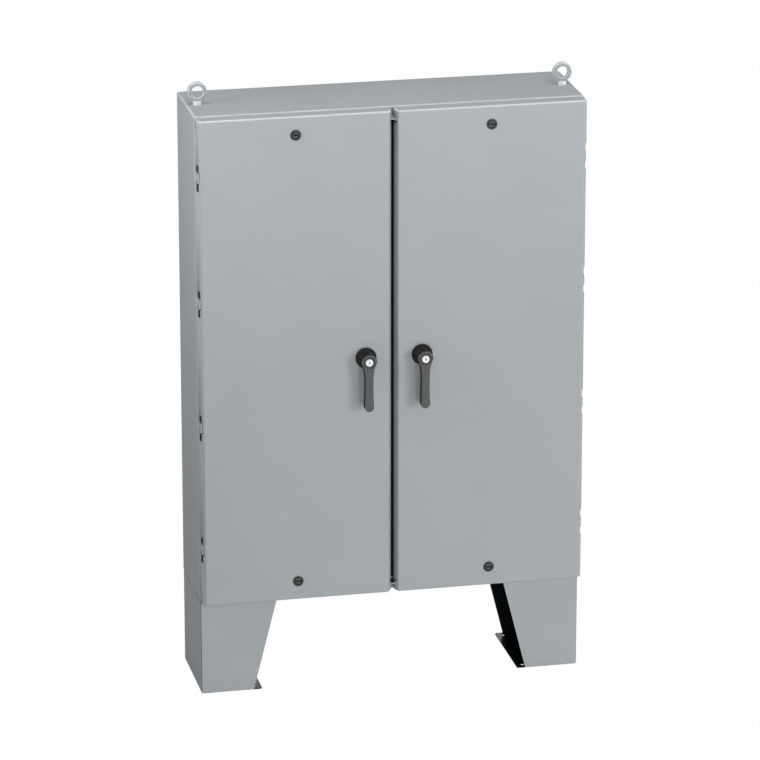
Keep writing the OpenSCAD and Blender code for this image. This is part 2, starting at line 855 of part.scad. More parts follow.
// display window and keypad with plain keys
module controller_face() {
    y = panel_front - 74;
    color([0.1, 0.12, 0.13]) difference() {
        round_box(-454.5, -235.5, y - 3, y, 1490.5, 1639.5, 5);
        box([-435, y - 4, 1570], [-315, y - 1.5, 1625]);
    }
    color([0.3, 0.45, 0.35]) box([-434, y - 2.5, 1571], [-316, y - 1.5, 1624]);
    color([0.6, 0.6, 0.62]) {
        for (i = [0 : 3], z = [1505, 1531]) translate([-433 + i * 32, 0, z])
            box([0, y - 4.5, 0], [26, y - 3, 20]);
        for (i = [0 : 4]) rod_y_axis([-277, y - 5, 1510 + i * 25], 8, 2);
    }
}

// ---- transfer switch ----

module switch_place() {
    translate([0, shaft_y, shaft_z]) children();
}

module switch_base() {
    back = panel_front - shaft_y;
    front = base_front - shaft_y;
    end_x = base_w / 2;
    color([0.30, 0.08, 0.06]) switch_place() difference() {
        union() {
            box([-end_x, front, -base_h / 2], [end_x, back, base_h / 2]);
            for (i = [-1.5 : 1 : 1.5]) translate([i * pole_pitch, 0, 0])
                box([-barrier_t / 2, -40, -210], [barrier_t / 2, front, 210]);
            for (side = [0, 1]) mirror([side, 0, 0])
                box([end_x - 8, -22, -30], [end_x + 12, front, 30]);
            for (px = pole_xs, x = [-12, 12], z = [-150, 120]) translate([px + x, 0, z])
                box([-4, riser_y + bar_t, 0], [4, front, 30]);
            box([coil_x - 40, front + 15, 40], [-end_x, back, 215]);
        }
        for (i = [-1.5 : 1 : 1.5]) translate([i * pole_pitch, 0, 0])
            rod_x_axis([-20, 0, 0], abs(i) > 1 ? main_d + 0.8 : 2 * rotor_r + 4, 40);
        for (sx = [-1, 1], z = [-base_h / 2 + 14, base_h / 2 - 14])
            rod_y_axis([sx * (end_x - 16), front - 1, z], 11, 60);
    }
}

// one moulded chute over each fixed contact, open below, with splitter slots in its top
module arc_chute() {
    w = pole_pitch - barrier_t;
    y0 = -128;
    y1 = 40;
    z0 = 76;
    z1 = 200;
    difference() {
        box([-w / 2, y0, z0], [w / 2, y1, z1]);
        box([-w / 2 + 6, y0 + 6, z0 - 1], [w / 2 - 6, y1 - 6, z1 - 6]);
        for (i = [0 : 6]) translate([0, y0 + 18 + i * 19, 0])
            box([-w / 2 + 14, 0, z1 - 10], [w / 2 - 14, 6, z1 + 1]);
    }
}

module arc_chutes() {
    color([0.82, 0.80, 0.74]) switch_place() for (x = pole_xs) translate([x, 0, 0]) {
        arc_chute();
        mirror([0, 0, 1]) arc_chute();
    }
}

// a fixed contact: a pad square to the arm, a plate and a riser to the terminal
module fixed_bar() {
    along = [-cos(throw_angle), sin(throw_angle)];
    up = [sin(throw_angle), cos(throw_angle)];
    off = arm_t / 2 + contact_t + contact_gap;
    a = (arm_r - 24) * along + off * up;
    b = (arm_r + 2) * along + off * up;
    plate_z = 62;
    difference() {
        union() {
            along_x(-arm_w / 2, arm_w / 2) polygon([a, b, [b[0], plate_z + 2], [a[0], plate_z + 2]]);
            along_x(-bar_w / 2, bar_w / 2) polygon([
                [b[0], plate_z], [riser_y + bar_t, plate_z], [riser_y + bar_t, 280], [riser_y, 280],
                [riser_y, plate_z + bar_t], [b[0], plate_z + bar_t]
            ]);
        }
        rod_y_axis([0, riser_y - 5, lug_z], 13, 30);
    }
}

// the pole's common bar, from its rotor back and down to the load terminal
module load_bar() {
    x0 = load_x - load_w / 2;
    x1 = load_x + load_w / 2;
    difference() {
        union() {
            box([-load_w / 2, rotor_r + 0.4, -bar_t / 2], [x1, load_y + bar_t, bar_t / 2]);
            box([x0, load_y, -load_len], [x1, load_y + bar_t, bar_t / 2]);
        }
        rod_y_axis([load_x, load_y - 5, 26 - load_len], 13, 30);
    }
}

module bus_bars() {
    color([0.75, 0.46, 0.22]) switch_place() for (x = pole_xs) translate([x, 0, 0]) {
        fixed_bar();
        mirror([0, 0, 1]) fixed_bar();
        load_bar();
    }
}

// a block with a vertical bore for a cable and two clamp screws
module lug(p) {
    translate(p) difference() {
        union() {
            box([-19, -34, -24], [19, 0, 24]);
            for (z = [-12, 12]) rod_y_axis([0, -38, z], 12, 10);
        }
        rod_z_axis([0, -18, -30], 20, 60);
    }
}

module wire_lugs() {
    color([0.8, 0.81, 0.83]) {
        switch_place() for (x = pole_xs) {
            lug([x, riser_y, lug_z]);
            lug([x, riser_y, -lug_z]);
            lug([x + load_x, load_y, 26 - load_len]);
        }
        for (z = [900, 1050]) lug([355, panel_front - 48, z]);
    }
}

module main_shaft() {
    color([0.35, 0.36, 0.38]) switch_place() {
        rod_x_axis([coil_x + 20, 0, 0], main_d, base_w / 2 + 75 - coil_x - 20);
        rotate([180 - throw_angle, 0, 0]) translate([coil_x + 20, 0, 0]) {
            rod_x_axis([0, 0, 0], 34, 8);
            box([0, 0, -9], [8, crank_len, 9]);
            rod_x_axis([0, crank_len, 0], 18, 8);
            rod_x_axis([-22, crank_len, 0], 10, 26);
        }
    }
    color([0.30, 0.08, 0.06]) switch_place() for (x = pole_xs)
        rod_x_axis([x - 30, 0, 0], 2 * rotor_r, 60);
}

module contact_arms() {
    color([0.78, 0.78, 0.74]) switch_place() for (x = pole_xs) translate([x, 0, 0])
        rotate([-throw_angle, 0, 0]) {
            difference() {
                box([-arm_w / 2, -arm_r, -arm_t / 2], [arm_w / 2, 0, arm_t / 2]);
                rod_x_axis([-30, 0, 0], 2 * rotor_r, 60);
            }
            translate([0, -arm_r + 11, -arm_t / 2 - contact_t]) cylinder(d = 20, h = arm_t + 2 * contact_t);
        }
}

module position_flag() {
    x = base_w / 2 + 18;
    color([0.85, 0.65, 0.1]) switch_place() difference() {
        union() {
            rod_x_axis([x, 0, 0], 44, 8);
            rotate([-throw_angle, 0, 0]) box([x, -58, -14], [x + 8, 0, 14]);
        }
        rod_x_axis([x - 1, 0, 0], main_d + 0.1, 20);
    }
}

module manual_handle() {
    x = base_w / 2 + 40;
    color([0.12, 0.12, 0.12]) switch_place() rotate([-throw_angle, 0, 0]) {
        difference() {
            rod_x_axis([x, 0, 0], 46, 30);
            rod_x_axis([x - 1, 0, 0], main_d + 0.1, 40);
        }
        rod_y_axis([x + 15, -125, 0], 16, 104);
        translate([x + 15, -125, 0]) sphere(d = 30);
    }
}

// coil with its steel frame, round the plunger
module operator_coil() {
    py = -crank_len * cos(throw_angle);
    back = base_front - shaft_y + 15;
    color([0.25, 0.26, 0.28]) switch_place() translate([coil_x, 0, 0]) difference() {
        union() {
            box([-38, py - 34, 70], [38, back, 78]);
            box([-38, py - 34, 192], [38, back, 200]);
            box([-38, back - 8, 70], [38, back, 200]);
        }
        rod_z_axis([0, py, 60], 2 * plunger_r + 1, 160);
    }
    color([0.5, 0.3, 0.1]) switch_place() translate([coil_x, 0, 0]) difference() {
        rod_z_axis([0, py, 78], 64, 114);
        rod_z_axis([0, py, 60], 2 * plunger_r + 1, 160);
    }
}

module operator_plunger() {
    py = -crank_len * cos(throw_angle);
    pz = crank_len * sin(throw_angle);
    color(ZINC) switch_place() translate([coil_x, py, 0]) difference() {
        union() {
            rod_z_axis([0, 0, pz + 10], 2 * plunger_r, 210 - pz);
            box([-18, -15, pz - 12], [18, 15, pz + 14]);
        }
        box([-19, -9, pz - 5 - slot_play / 2], [19, 9, pz + 5 + slot_play / 2]);
        box([17.7, -16, pz - 13], [19, 16, pz + 15]);
    }
}

// leads from the terminal blocks to the coil, tied flat against the panel
module control_harness() {
    r = 6;
    y = panel_front - 28;
    bend = 20;
    x0 = -400;
    x1 = coil_x;
    z_top = 1410;
    z_low = shaft_z + 200;
    z_turn = 1370;
    color([0.1, 0.1, 0.1]) {
        rod_z_axis([x0, y, z_turn + bend], 2 * r, z_top - z_turn - bend);
        translate([x0 + bend, y, z_turn + bend]) rotate([90, 0, 0])
            rotate([0, 0, 180]) rotate_extrude(angle = 90) translate([bend, 0]) circle(r = r);
        rod_x_axis([x0 + bend, y, z_turn], 2 * r, x1 - x0 - 2 * bend);
        translate([x1 - bend, y, z_turn - bend]) rotate([90, 0, 0])
            rotate_extrude(angle = 90) translate([bend, 0]) circle(r = r);
        rod_z_axis([x1, y, z_low], 2 * r, z_turn - bend - z_low);
    }
}

body_wrap();
rear_panel();
door_frame();
center_post();
left_leg();
right_leg();
leg_bolts();
lifting_eyes();
hex_nuts();
hinge_leaves();
hinge_pins();
left_door();
left_door_gasket();
left_door_stiffener();
left_hinge_brackets();
left_handle_base();
left_lever();
left_key_plug();
left_latch_plate();
left_upper_rod();
left_lower_rod();
left_latch_housings();
left_top_latch();
left_bottom_latch();
right_door();
right_door_gasket();
right_door_stiffener();
right_hinge_brackets();
right_handle_base();
right_lever();
right_key_plug();
right_latch_plate();
right_upper_rod();
right_lower_rod();
right_latch_housings();
right_top_latch();
right_bottom_latch();
document_pocket();
panel_studs();
mounting_panel();
ground_bar();
neutral_bar();
wiring_ducts();
terminal_blocks();
control_transformer();
controller_case();
controller_face();
switch_base();
arc_chutes();
bus_bars();
wire_lugs();
main_shaft();
contact_arms();
position_flag();
manual_handle();
operator_coil();
operator_plunger();
control_harness();
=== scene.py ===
import json
from math import cos, hypot, pi, radians, sin

import bmesh
import bpy
from mathutils import Matrix, Vector

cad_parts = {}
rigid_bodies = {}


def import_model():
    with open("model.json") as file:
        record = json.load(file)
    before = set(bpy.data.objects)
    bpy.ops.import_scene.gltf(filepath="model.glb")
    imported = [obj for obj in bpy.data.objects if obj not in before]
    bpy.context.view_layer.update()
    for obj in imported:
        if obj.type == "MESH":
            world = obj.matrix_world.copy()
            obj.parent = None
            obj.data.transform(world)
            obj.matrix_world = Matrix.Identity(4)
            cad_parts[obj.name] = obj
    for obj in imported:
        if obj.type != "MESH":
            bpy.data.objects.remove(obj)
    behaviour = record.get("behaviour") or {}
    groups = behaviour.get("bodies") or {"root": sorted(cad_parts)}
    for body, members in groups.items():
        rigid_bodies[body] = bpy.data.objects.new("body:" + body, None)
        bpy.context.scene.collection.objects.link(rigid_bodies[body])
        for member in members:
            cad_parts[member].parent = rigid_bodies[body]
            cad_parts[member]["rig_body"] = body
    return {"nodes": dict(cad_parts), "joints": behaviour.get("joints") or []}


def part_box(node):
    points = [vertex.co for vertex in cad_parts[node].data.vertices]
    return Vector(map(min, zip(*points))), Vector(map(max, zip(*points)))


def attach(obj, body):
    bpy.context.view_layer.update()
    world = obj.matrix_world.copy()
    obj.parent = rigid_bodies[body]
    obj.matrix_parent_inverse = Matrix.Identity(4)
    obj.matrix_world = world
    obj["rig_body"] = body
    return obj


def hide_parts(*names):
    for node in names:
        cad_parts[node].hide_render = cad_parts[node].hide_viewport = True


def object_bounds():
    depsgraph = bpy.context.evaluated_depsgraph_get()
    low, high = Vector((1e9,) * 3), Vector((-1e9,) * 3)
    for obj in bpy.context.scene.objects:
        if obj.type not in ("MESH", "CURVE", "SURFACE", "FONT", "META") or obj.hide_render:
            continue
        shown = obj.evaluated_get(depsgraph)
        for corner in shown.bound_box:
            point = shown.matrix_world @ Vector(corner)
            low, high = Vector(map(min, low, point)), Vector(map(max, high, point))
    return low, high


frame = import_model()
cad_low, cad_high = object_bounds()


# ---- camera ----
# A long lens stands well back from the cabinet, a little to its left and above its
# top edge, so that its uprights stay nearly parallel.
azimuth, elevation = radians(-12.23), radians(18.26)
aim, distance = Vector((-0.03385, -0.1524, 1.001)), 14.6
away = Vector((sin(azimuth) * cos(elevation), -cos(azimuth) * cos(elevation),
               sin(elevation)))
lens = bpy.data.cameras.new("camera")
lens.lens = 222.3
lens.sensor_width = 36
camera = bpy.data.objects.new("camera", lens)
camera.location = aim + away * distance
camera.rotation_mode = "QUATERNION"
camera.rotation_quaternion = away.to_track_quat("Z", "Y")
bpy.context.scene.collection.objects.link(camera)
bpy.context.scene.camera = camera
bpy.context.scene.view_settings.view_transform = "Standard"


# ---- body shell ----
# The body is one folded and welded steel box: top, sides, bottom, the flange round its
# front and the collar that carries rain past the door opening. All of it is powder
# coated light grey. Its rear is open for the rear panel.
def add_node(finish, kind, settings=None, **inputs):
    """Adds a shader node to a material. An input is a value, or a socket to link from."""
    made = finish.node_tree.nodes.new("ShaderNode" + kind)
    for name, value in (settings or {}).items():
        setattr(made, name, value)
    for name, value in inputs.items():
        socket = made.inputs[name.replace("_", " ")]
        if isinstance(value, bpy.types.NodeSocket):
            finish.node_tree.links.new(value, socket)
        else:
            socket.default_value = value
    return made


def shades(finish, factor, low, high, colours):
    """Runs through colours, darkest first, as a 0 to 1 factor goes from low to high."""
    ramp = add_node(finish, "ValToRGB", Fac=factor)
    steps = ramp.color_ramp.elements
    while len(steps) < len(colours):
        steps.new(0.5)
    for i, colour in enumerate(colours):
        steps[i].position = low + (high - low) * i / (len(colours) - 1)
        steps[i].color = (*colour, 1)
    return ramp.outputs["Color"]


def surface(name, colour, roughness, metallic=0.0, mottle=0.1, patch=0.01, grain=0.001,
            relief=0.2, stretch=(1, 1, 1), specular=0.5):
    """A finish with slow changes of shade and gloss, and a fine grain in relief."""
    finish = bpy.data.materials.new(name)
    finish.use_nodes = True
    shader = finish.node_tree.nodes["Principled BSDF"]
    shader.inputs["Metallic"].default_value = metallic
    shader.inputs["Specular IOR Level"].default_value = specular
    place = add_node(finish, "TexCoord").outputs["Object"]
    place = add_node(finish, "Mapping", Vector=place, Scale=stretch).outputs["Vector"]
    slow = add_node(finish, "TexNoise", Vector=place, Scale=1 / patch, Detail=3.0)
    fine = add_node(finish, "TexNoise", Vector=place, Scale=1 / grain, Detail=2.0)
    dark = [channel * (1 - mottle) for channel in colour]
    light = [min(1, channel * (1 + mottle)) for channel in colour]
    link = finish.node_tree.links.new
    shade = shades(finish, slow.outputs["Fac"], 0.3, 0.7, [dark, light])
    link(shade, shader.inputs["Base Color"])
    gloss = add_node(finish, "MapRange", Value=slow.outputs["Fac"], From_Min=0.3, From_Max=0.7,
                     To_Min=roughness - 0.04, To_Max=roughness + 0.04)
    link(gloss.outputs["Result"], shader.inputs["Roughness"])
    bump = add_node(finish, "Bump", Strength=relief, Distance=grain * 0.3,
                    Height=fine.outputs["Fac"])
    link(bump.outputs["Normal"], shader.inputs["Normal"])
    return finish


def lay_over(finish, where, colour):
    """Mixes a colour over a finish's base colour, by a 0 to 1 factor."""
    base = finish.node_tree.nodes["Principled BSDF"].inputs["Base Color"]
    mixed = add_node(finish, "MixRGB", Fac=where, Color1=base.links[0].from_socket,
                     Color2=(*colour, 1))
    finish.node_tree.links.new(mixed.outputs["Color"], base)


def flecked(finish, size, colour, share):
    """Mixes small flecks of a colour over a finish's base colour."""
    place = add_node(finish, "TexCoord").outputs["Object"]
    fleck = add_node(finish, "TexNoise", Vector=place, Scale=1 / size, Detail=1.0)
    where = add_node(finish, "MapRange", Value=fleck.outputs["Fac"], From_Min=0.58,
                     From_Max=0.68, To_Min=0.0, To_Max=share)
    lay_over(finish, where.outputs["Result"], colour)


def piece(name, shape, finishes, body, crease=35):
    """Makes an object of a shape, shades it and lets it ride on its body."""
    mesh = bpy.data.meshes.new(name)
    for face in shape.faces:
        face.smooth = True
    shape.to_mesh(mesh)
    shape.free()
    for finish in finishes:
        mesh.materials.append(finish)
    mesh.set_sharp_from_angle(angle=radians(crease))
    made = bpy.data.objects.new(name, mesh)
    bpy.context.scene.collection.objects.link(made)
    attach(made, body)
    return made


def sheet_metal(made, thickness):
    """Gives a bent surface the thickness of its sheet, inwards from its outer face."""
    wall = made.modifiers.new("sheet", "SOLIDIFY")
    wall.thickness = thickness
    wall.offset = -1
    wall.use_even_offset = True
    return made


def rounded(shape, edges, radius, segments=3):
    """Rounds a bend or an edge."""
    return bmesh.ops.bevel(shape, geom=list(edges), offset=radius, offset_type="OFFSET",
                           segments=segments, profile=0.5, affect="EDGES", material=-1)


def corners(parts):
    """The corner points among the parts that an operator has made."""
    return [part for part in parts if isinstance(part, bmesh.types.BMVert)]


def keep_flat(shape, smallest=0.0005):
    """Rings each large flat face with a narrow border, so that the bends beside it stay the
    only rounded part of a sheet."""
    large = [f for f in shape.faces if f.calc_area() > smallest]
    bmesh.ops.inset_individual(shape, faces=large, thickness=0.0006, use_even_offset=True)


def powder_coat(name, shade=1.0, gloss=0.15):
    """Light grey semi-gloss powder coat, with the faint orange peel it cures to."""
    colour = [channel * shade for channel in (0.385, 0.412, 0.430)]
    finish = surface(name, colour, 0.52, mottle=0.018, patch=0.22, grain=0.0025,
                     relief=0.06, specular=0.0)
    flecked(finish, 0.0016, (0.30, 0.325, 0.34), 0.25)
    shader = finish.node_tree.nodes["Principled BSDF"]
    shader.inputs["Coat Weight"].default_value = gloss
    shader.inputs["Coat Roughness"].default_value = 0.25
    return finish


def paint_bend_highlights(shape):
    """Gives a shape's bends its second finish, a painted highlight: they are the faces that lean."""
    for face in shape.faces:
        face.material_index = int(max(abs(part) for part in face.normal) < 0.985)


grey_paint = powder_coat("grey powder coat")
# The bends take a lighter, glossier copy of the coat: a painted highlight.
bend_highlight_paint = powder_coat("powder coat painted bend highlight", 1.4, 0.4)

body_low, body_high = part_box("body_wrap")
frame_low, frame_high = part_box("door_frame")
body_sheet, fold_radius, flange_radius = 0.0027, 0.005, 0.0015
collar_inset = 0.040
shell = bmesh.new()
bmesh.ops.create_cube(shell, size=1, matrix=Matrix.LocRotScale(
    (body_low + body_high) / 2, None, body_high - body_low))
open_rear = [f for f in shell.faces if f.normal.y > 0.9]
bmesh.ops.delete(shell, geom=open_rear, context="FACES_ONLY")
rounded(shell, [e for e in shell.edges if not e.is_boundary], fold_radius, 4)
flange = min(shell.faces, key=lambda f: f.calc_center_median().y + (f.normal.y > -0.99))
bmesh.ops.inset_region(shell, faces=[flange], thickness=collar_inset - fold_radius)
collar = bmesh.ops.extrude_edge_only(shell, edges=list(flange.edges))["geom"]
root_edges = list(flange.edges)
bmesh.ops.translate(shell, verts=corners(collar), vec=(0, frame_low.y - body_low.y, 0))
bmesh.ops.delete(shell, geom=[flange], context="FACES_ONLY")
rounded(shell, root_edges, flange_radius, 2)
bmesh.ops.recalc_face_normals(shell, faces=shell.faces)
top_face = max(shell.faces, key=lambda f: f.calc_center_median().z)
if top_face.normal.z < 0:
    bmesh.ops.reverse_faces(shell, faces=shell.faces)
keep_flat(shell)
# Every leaning face of the shell takes the lighter coat, a painted highlight.
paint_bend_highlights(shell)
cabinet_shell = sheet_metal(piece("cabinet_shell", shell, [grey_paint, bend_highlight_paint], "cabinet"), body_sheet)
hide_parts("body_wrap", "door_frame")


# ---- rear panel and centre post ----
# The rear panel is a flat sheet let into the folded body and welded round its edge. The
# centre post is a channel that closes the gap between the doors, bolted top and bottom. Its
# front between the doors is black, as painted shade in the gap.
def eased(node, finishes, width=0.0006, segments=2, choose=None):
    """Stands for a CAD node: the same shape with its edges broken as a maker leaves them.
    choose gives a face's finish from the face's middle."""
    shape = bmesh.new()
    shape.from_mesh(frame["nodes"][node].data)
    bmesh.ops.remove_doubles(shape, verts=shape.verts, dist=1e-5)
    bmesh.ops.dissolve_limit(shape, angle_limit=radians(0.5), verts=shape.verts,
                             edges=shape.edges, delimit=set())
    for face in shape.faces:
        face.material_index = choose(face.calc_center_median()) if choose else 0
    body = frame["nodes"][node]["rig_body"]
    made = piece(node + "_piece", shape, finishes, body)
    edge = made.modifiers.new("eased edges", "BEVEL")
    edge.width = width
    edge.segments = segments
    edge.limit_method = "ANGLE"
    edge.angle_limit = radians(40)
    edge.harden_normals = True
    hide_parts(node)
    return made


# The post's front between the doors is black: painted shade in the gap.
post_painted_shade = surface("post front painted shade", (0.012, 0.012, 0.013), 0.85, mottle=0.2, grain=0.0012,
                    relief=0.5, specular=0.1)
eased("rear_panel", [grey_paint], 0.0008)
eased("center_post", [grey_paint, post_painted_shade], 0.0008,
      choose=lambda middle: int(abs(middle.x) < 0.020 and middle.y < body_low.y + 0.0005))


# ---- legs ----
# Each leg is a sloping channel bent from the body's sheet, with a turned-in foot plate
# that is drilled for two anchor bolts. Its outside is grey; the inside and the foot plate
# are black.
def maths(finish, operation, one, other=0.0):
    """Adds a maths node to a finish. Each input is a number or a socket."""
    made = add_node(finish, "Math", {"operation": operation})
    for socket, value in zip(made.inputs, (one, other)):
        if isinstance(value, bpy.types.NodeSocket):
            finish.node_tree.links.new(value, socket)
        else:
            socket.default_value = value
    return made.outputs[0]


def black_inside(finish, black_paint):
    """Mixes black over a leg's paint, except on its three outer faces."""
    low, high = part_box("right_leg")
    skin, foot_w, foot_t = 0.0013, 0.1685, 0.004
    place = add_node(finish, "TexCoord").outputs["Object"]
    axes = add_node(finish, "SeparateXYZ", Vector=place).outputs
    x, y, z = [maths(finish, "ABSOLUTE", axes[axis]) for axis in "XYZ"]
    outside = maths(finish, "MAXIMUM", maths(finish, "GREATER_THAN", x, high.x - skin),
                    maths(finish, "GREATER_THAN", y, high.y - skin))
    foot = maths(finish, "MULTIPLY", maths(finish, "LESS_THAN", x, high.x - foot_w),
                 maths(finish, "LESS_THAN", z, foot_t))
    inside = maths(finish, "MAXIMUM", maths(finish, "SUBTRACT", 1.0, outside), foot)
    lay_over(finish, inside, black_paint)


def coat(node, finish):
    """Puts a finish on a CAD node that stays in the scene."""
    mesh = frame["nodes"][node].data
    mesh.materials.clear()
    mesh.materials.append(finish)


leg_paint = powder_coat("leg powder coat")
black_inside(leg_paint, (0.010, 0.011, 0.012))
coat("left_leg", leg_paint)
coat("right_leg", leg_paint)


# ---- bolts, nuts and studs ----
# The legs are bolted to the body's bottom and the mounting panel stands on welded studs.
# Bolts, nuts and studs are zinc plated steel.
zinc = surface("zinc plate", (0.46, 0.47, 0.48), 0.36, metallic=1.0, patch=0.012,
               grain=0.0008, relief=0.15)
flecked(zinc, 0.004, (0.42, 0.41, 0.34), 0.35)
for node in ("leg_bolts", "hex_nuts", "panel_studs"):
    eased(node, [zinc], 0.0007)


# ---- lifting eyes ----
# Two drop forged eye bolts screw into nuts under the top sheet, one at each end. Their
# rings are painted with the body; the turned collars that seat on it are bright zinc.
def turned(shape, outline, centre, turn=Matrix(), steps=48, closed=False, finish=0):
    """Spins an outline of (radius, height) points round an axis through a centre. Its faces
    take the piece's finish of that number."""
    before = set(shape.verts)
    verts = [shape.verts.new((r, 0, h)) for r, h in outline]
    edges = [shape.edges.new(pair) for pair in zip(verts, verts[1:])]
    if closed:
        edges.append(shape.edges.new((verts[-1], verts[0])))
    bmesh.ops.spin(shape, geom=verts + edges, cent=(0, 0, 0), axis=(0, 0, 1),
                   angle=2 * pi, steps=steps, use_merge=True)
    new = [v for v in shape.verts if v not in before]
    bmesh.ops.remove_doubles(shape, verts=new, dist=1e-6)
    new = [v for v in shape.verts if v not in before]
    faces = list({f for v in new for f in v.link_faces})
    bmesh.ops.recalc_face_normals(shape, faces=faces)
    bmesh.ops.transform(shape, verts=new, matrix=Matrix.Translation(centre) @ turn)
    for face in faces:
        face.material_index = finish
    return faces


bright_zinc = surface("bright zinc", (0.80, 0.81, 0.82), 0.36, metallic=0.25, mottle=0.05,
                      patch=0.004, grain=0.0006, relief=0.15)
sides = {"left": -1, "right": 1}
to_front = Matrix.Rotation(radians(90), 4, "X")
eye_low, eye_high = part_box("lifting_eyes")
eye_r, bore_r, eye_half = 0.031, 0.018, 0.008
outer_cut, inner_cut = 0.0040, 0.0022
ring = [(bore_r, -eye_half + inner_cut), (bore_r + inner_cut, -eye_half),
        (eye_r - outer_cut, -eye_half), (eye_r, -eye_half + outer_cut),
        (eye_r, eye_half - outer_cut), (eye_r - outer_cut, eye_half),
        (bore_r + inner_cut, eye_half), (bore_r, eye_half - inner_cut)]
eye_collar = [(0, 0), (0.013, 0), (0.013, 0.0105), (0.0122, 0.0117), (0, 0.0117)]
eye_shank = [(0, -0.0245), (0.007, -0.0245), (0.008, -0.0235), (0.008, 0.001), (0, 0.001)]
seats = [Vector((side * (eye_high.x - eye_r), (eye_low.y + eye_high.y) / 2, body_high.z))
         for side in sides.values()]
eyes = bmesh.new()
for seat in seats:
    middle = Vector((seat.x, seat.y, eye_high.z - eye_r))
    turned(eyes, ring, middle, to_front, 64, closed=True)
rounded(eyes, [e for e in eyes.edges if e.calc_face_angle(0) > radians(30)], 0.0006, 2)
# The ring's chamfers take the lighter coat: a painted highlight.
for face in eyes.faces:
    face.material_index = 2 * int(0.15 < abs(face.normal.y) < 0.97)
for seat in seats:
    turned(eyes, eye_collar, seat, steps=40, finish=1)
    turned(eyes, eye_shank, seat, steps=24)
lifting_eyes = piece("lifting_eye_bolts", eyes, [grey_paint, bright_zinc, bend_highlight_paint],
                     "cabinet", 25)
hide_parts("lifting_eyes")


# ---- doors ----
# Each door is a pan folded from one sheet. Its upright edges are bent twice, to 45 degrees
# on the hinge side and steeper where the doors meet, and its ends are bent once and welded.
# The outer return has a window at each hinge; the inner one is notched for the collar.
door_low, door_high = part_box("right_door")
door_sheet, door_bevel, door_return = 0.0019, 0.012, 0.036
meeting_w, meeting_d, inner_bevel = 0.010, 0.018, 0.0095
end_bend, upright_bend = 0.0045, 0.0020
hinge_pitch = 0.4
hinge_zs = [(door_low.z + door_high.z) / 2 + k * hinge_pitch for k in (-1.5, -0.5, 0.5, 1.5)]
window_in, window_half = 0.0042, 0.042
slot_in, slot_half = 0.0066, 0.0175
corner_d, corner_h, notch_play = 0.028, 0.0288, 0.0012


def solid_from(shape, outline, depth):
    """Draws a closed outline of points out into a solid. Returns its first face."""
    first = shape.faces.new([shape.verts.new(point) for point in outline])
    drawn = bmesh.ops.extrude_face_region(shape, geom=[first])["geom"]
    bmesh.ops.translate(shape, verts=corners(drawn), vec=depth)
    bmesh.ops.recalc_face_normals(shape, faces=shape.faces)
    return first


def overlaps(face, low, high):
    """Whether a face's own box overlaps the box between two corners."""
    spans = zip(*(v.co for v in face.verts))
    return all(min(span) < h and max(span) > l for span, l, h in zip(spans, low, high))


def cut_out(shape, corner, opposite):
    """Cuts a rectangular opening out of the faces that pass between two corners."""
    low = [min(pair) for pair in zip(corner, opposite)]
    high = [max(pair) for pair in zip(corner, opposite)]
    for axis in range(3):
        for bound in (low, high):
            near = [f for f in shape.faces if overlaps(f, low, high)]
            edges = {e for f in near for e in f.edges}
            verts = {v for f in near for v in f.verts}
            across = Vector([float(i == axis) for i in range(3)])
            bmesh.ops.bisect_plane(shape, geom=list(verts) + list(edges) + near, dist=1e-6,
                                   plane_co=across * bound[axis], plane_no=across)
    inside = [f for f in shape.faces
              if all(l < at < h for l, at, h in zip(low, f.calc_center_median(), high))]
    bmesh.ops.delete(shape, geom=inside, context="FACES")


def rise(edge):
    """How far an edge climbs from one end to the other."""
    return abs(edge.verts[0].co.z - edge.verts[1].co.z)


for name, side in sides.items():
    outer, inner = door_high.x, door_low.x
    plan = [(outer, door_high.y), (outer, body_low.y - door_return),
            (outer - door_bevel, door_low.y), (inner + meeting_w, door_low.y),
            (inner, door_low.y + meeting_d), (inner, door_high.y - inner_bevel),
            (inner + inner_bevel, door_high.y)]
    pan_top = door_high.z - 0.0025
    pan = bmesh.new()
    solid_from(pan, [(side * x, y, door_low.z) for x, y in plan], (0, 0, pan_top - door_low.z))
    bmesh.ops.delete(pan, geom=[f for f in pan.faces if f.normal.y > 0.3], context="FACES")
    rounded(pan, [e for e in pan.edges if not e.is_boundary and rise(e) < 1e-6], end_bend, 4)
    rounded(pan, [e for e in pan.edges if not e.is_boundary and rise(e) > 1e-5
                  and e.calc_face_angle(0) > radians(4)], upright_bend, 3)
    keep_flat(pan)
    # Bends that face upwards take the lighter coat: a painted highlight.
    for face in pan.faces:
        face.material_index = int(0.05 < face.normal.z < 0.985)
    past_outer, past_inner = side * (outer + 0.01), side * (inner - 0.01)
    for z in hinge_zs:
        cut_out(pan, (side * (outer - window_in), body_low.y - 0.041, z - window_half),
                (past_outer, body_low.y - 0.021, z + window_half))
        cut_out(pan, (side * (outer - slot_in), body_low.y - 0.043, z - slot_half),
                (past_outer, body_low.y, z + slot_half))
    for z in (door_low.z + 0.0022, door_high.z - 0.031):
        cut_out(pan, (side * (outer - 0.001), door_high.y - corner_d, z),
                (past_outer, body_low.y, z + corner_h))
    for z in (frame_low.z + collar_inset - body_sheet, frame_high.z - collar_inset):
        cut_out(pan, (past_inner, frame_low.y - 0.0015, z - notch_play),
                (side * (inner + 0.005), body_low.y, z + body_sheet + notch_play))
    leaf = sheet_metal(piece(name + "_door_pan", pan, [grey_paint, bend_highlight_paint],
                             name + "_door_leaf", 50), door_sheet)
    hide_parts(name + "_door")


# ---- door gaskets and stiffeners ----
# A seamless foam gasket is poured inside each door and closes on the collar and the post.
# A hat channel is welded upright behind the sheet and guides the latch rods.
foam = surface("poured foam gasket", (0.018, 0.018, 0.019), 0.85, mottle=0.2, grain=0.0012,
               relief=0.5)
for name in sides:
    eased(name + "_door_gasket", [foam], 0.0028, 4)
    eased(name + "_door_stiffener", [grey_paint], 0.0006)
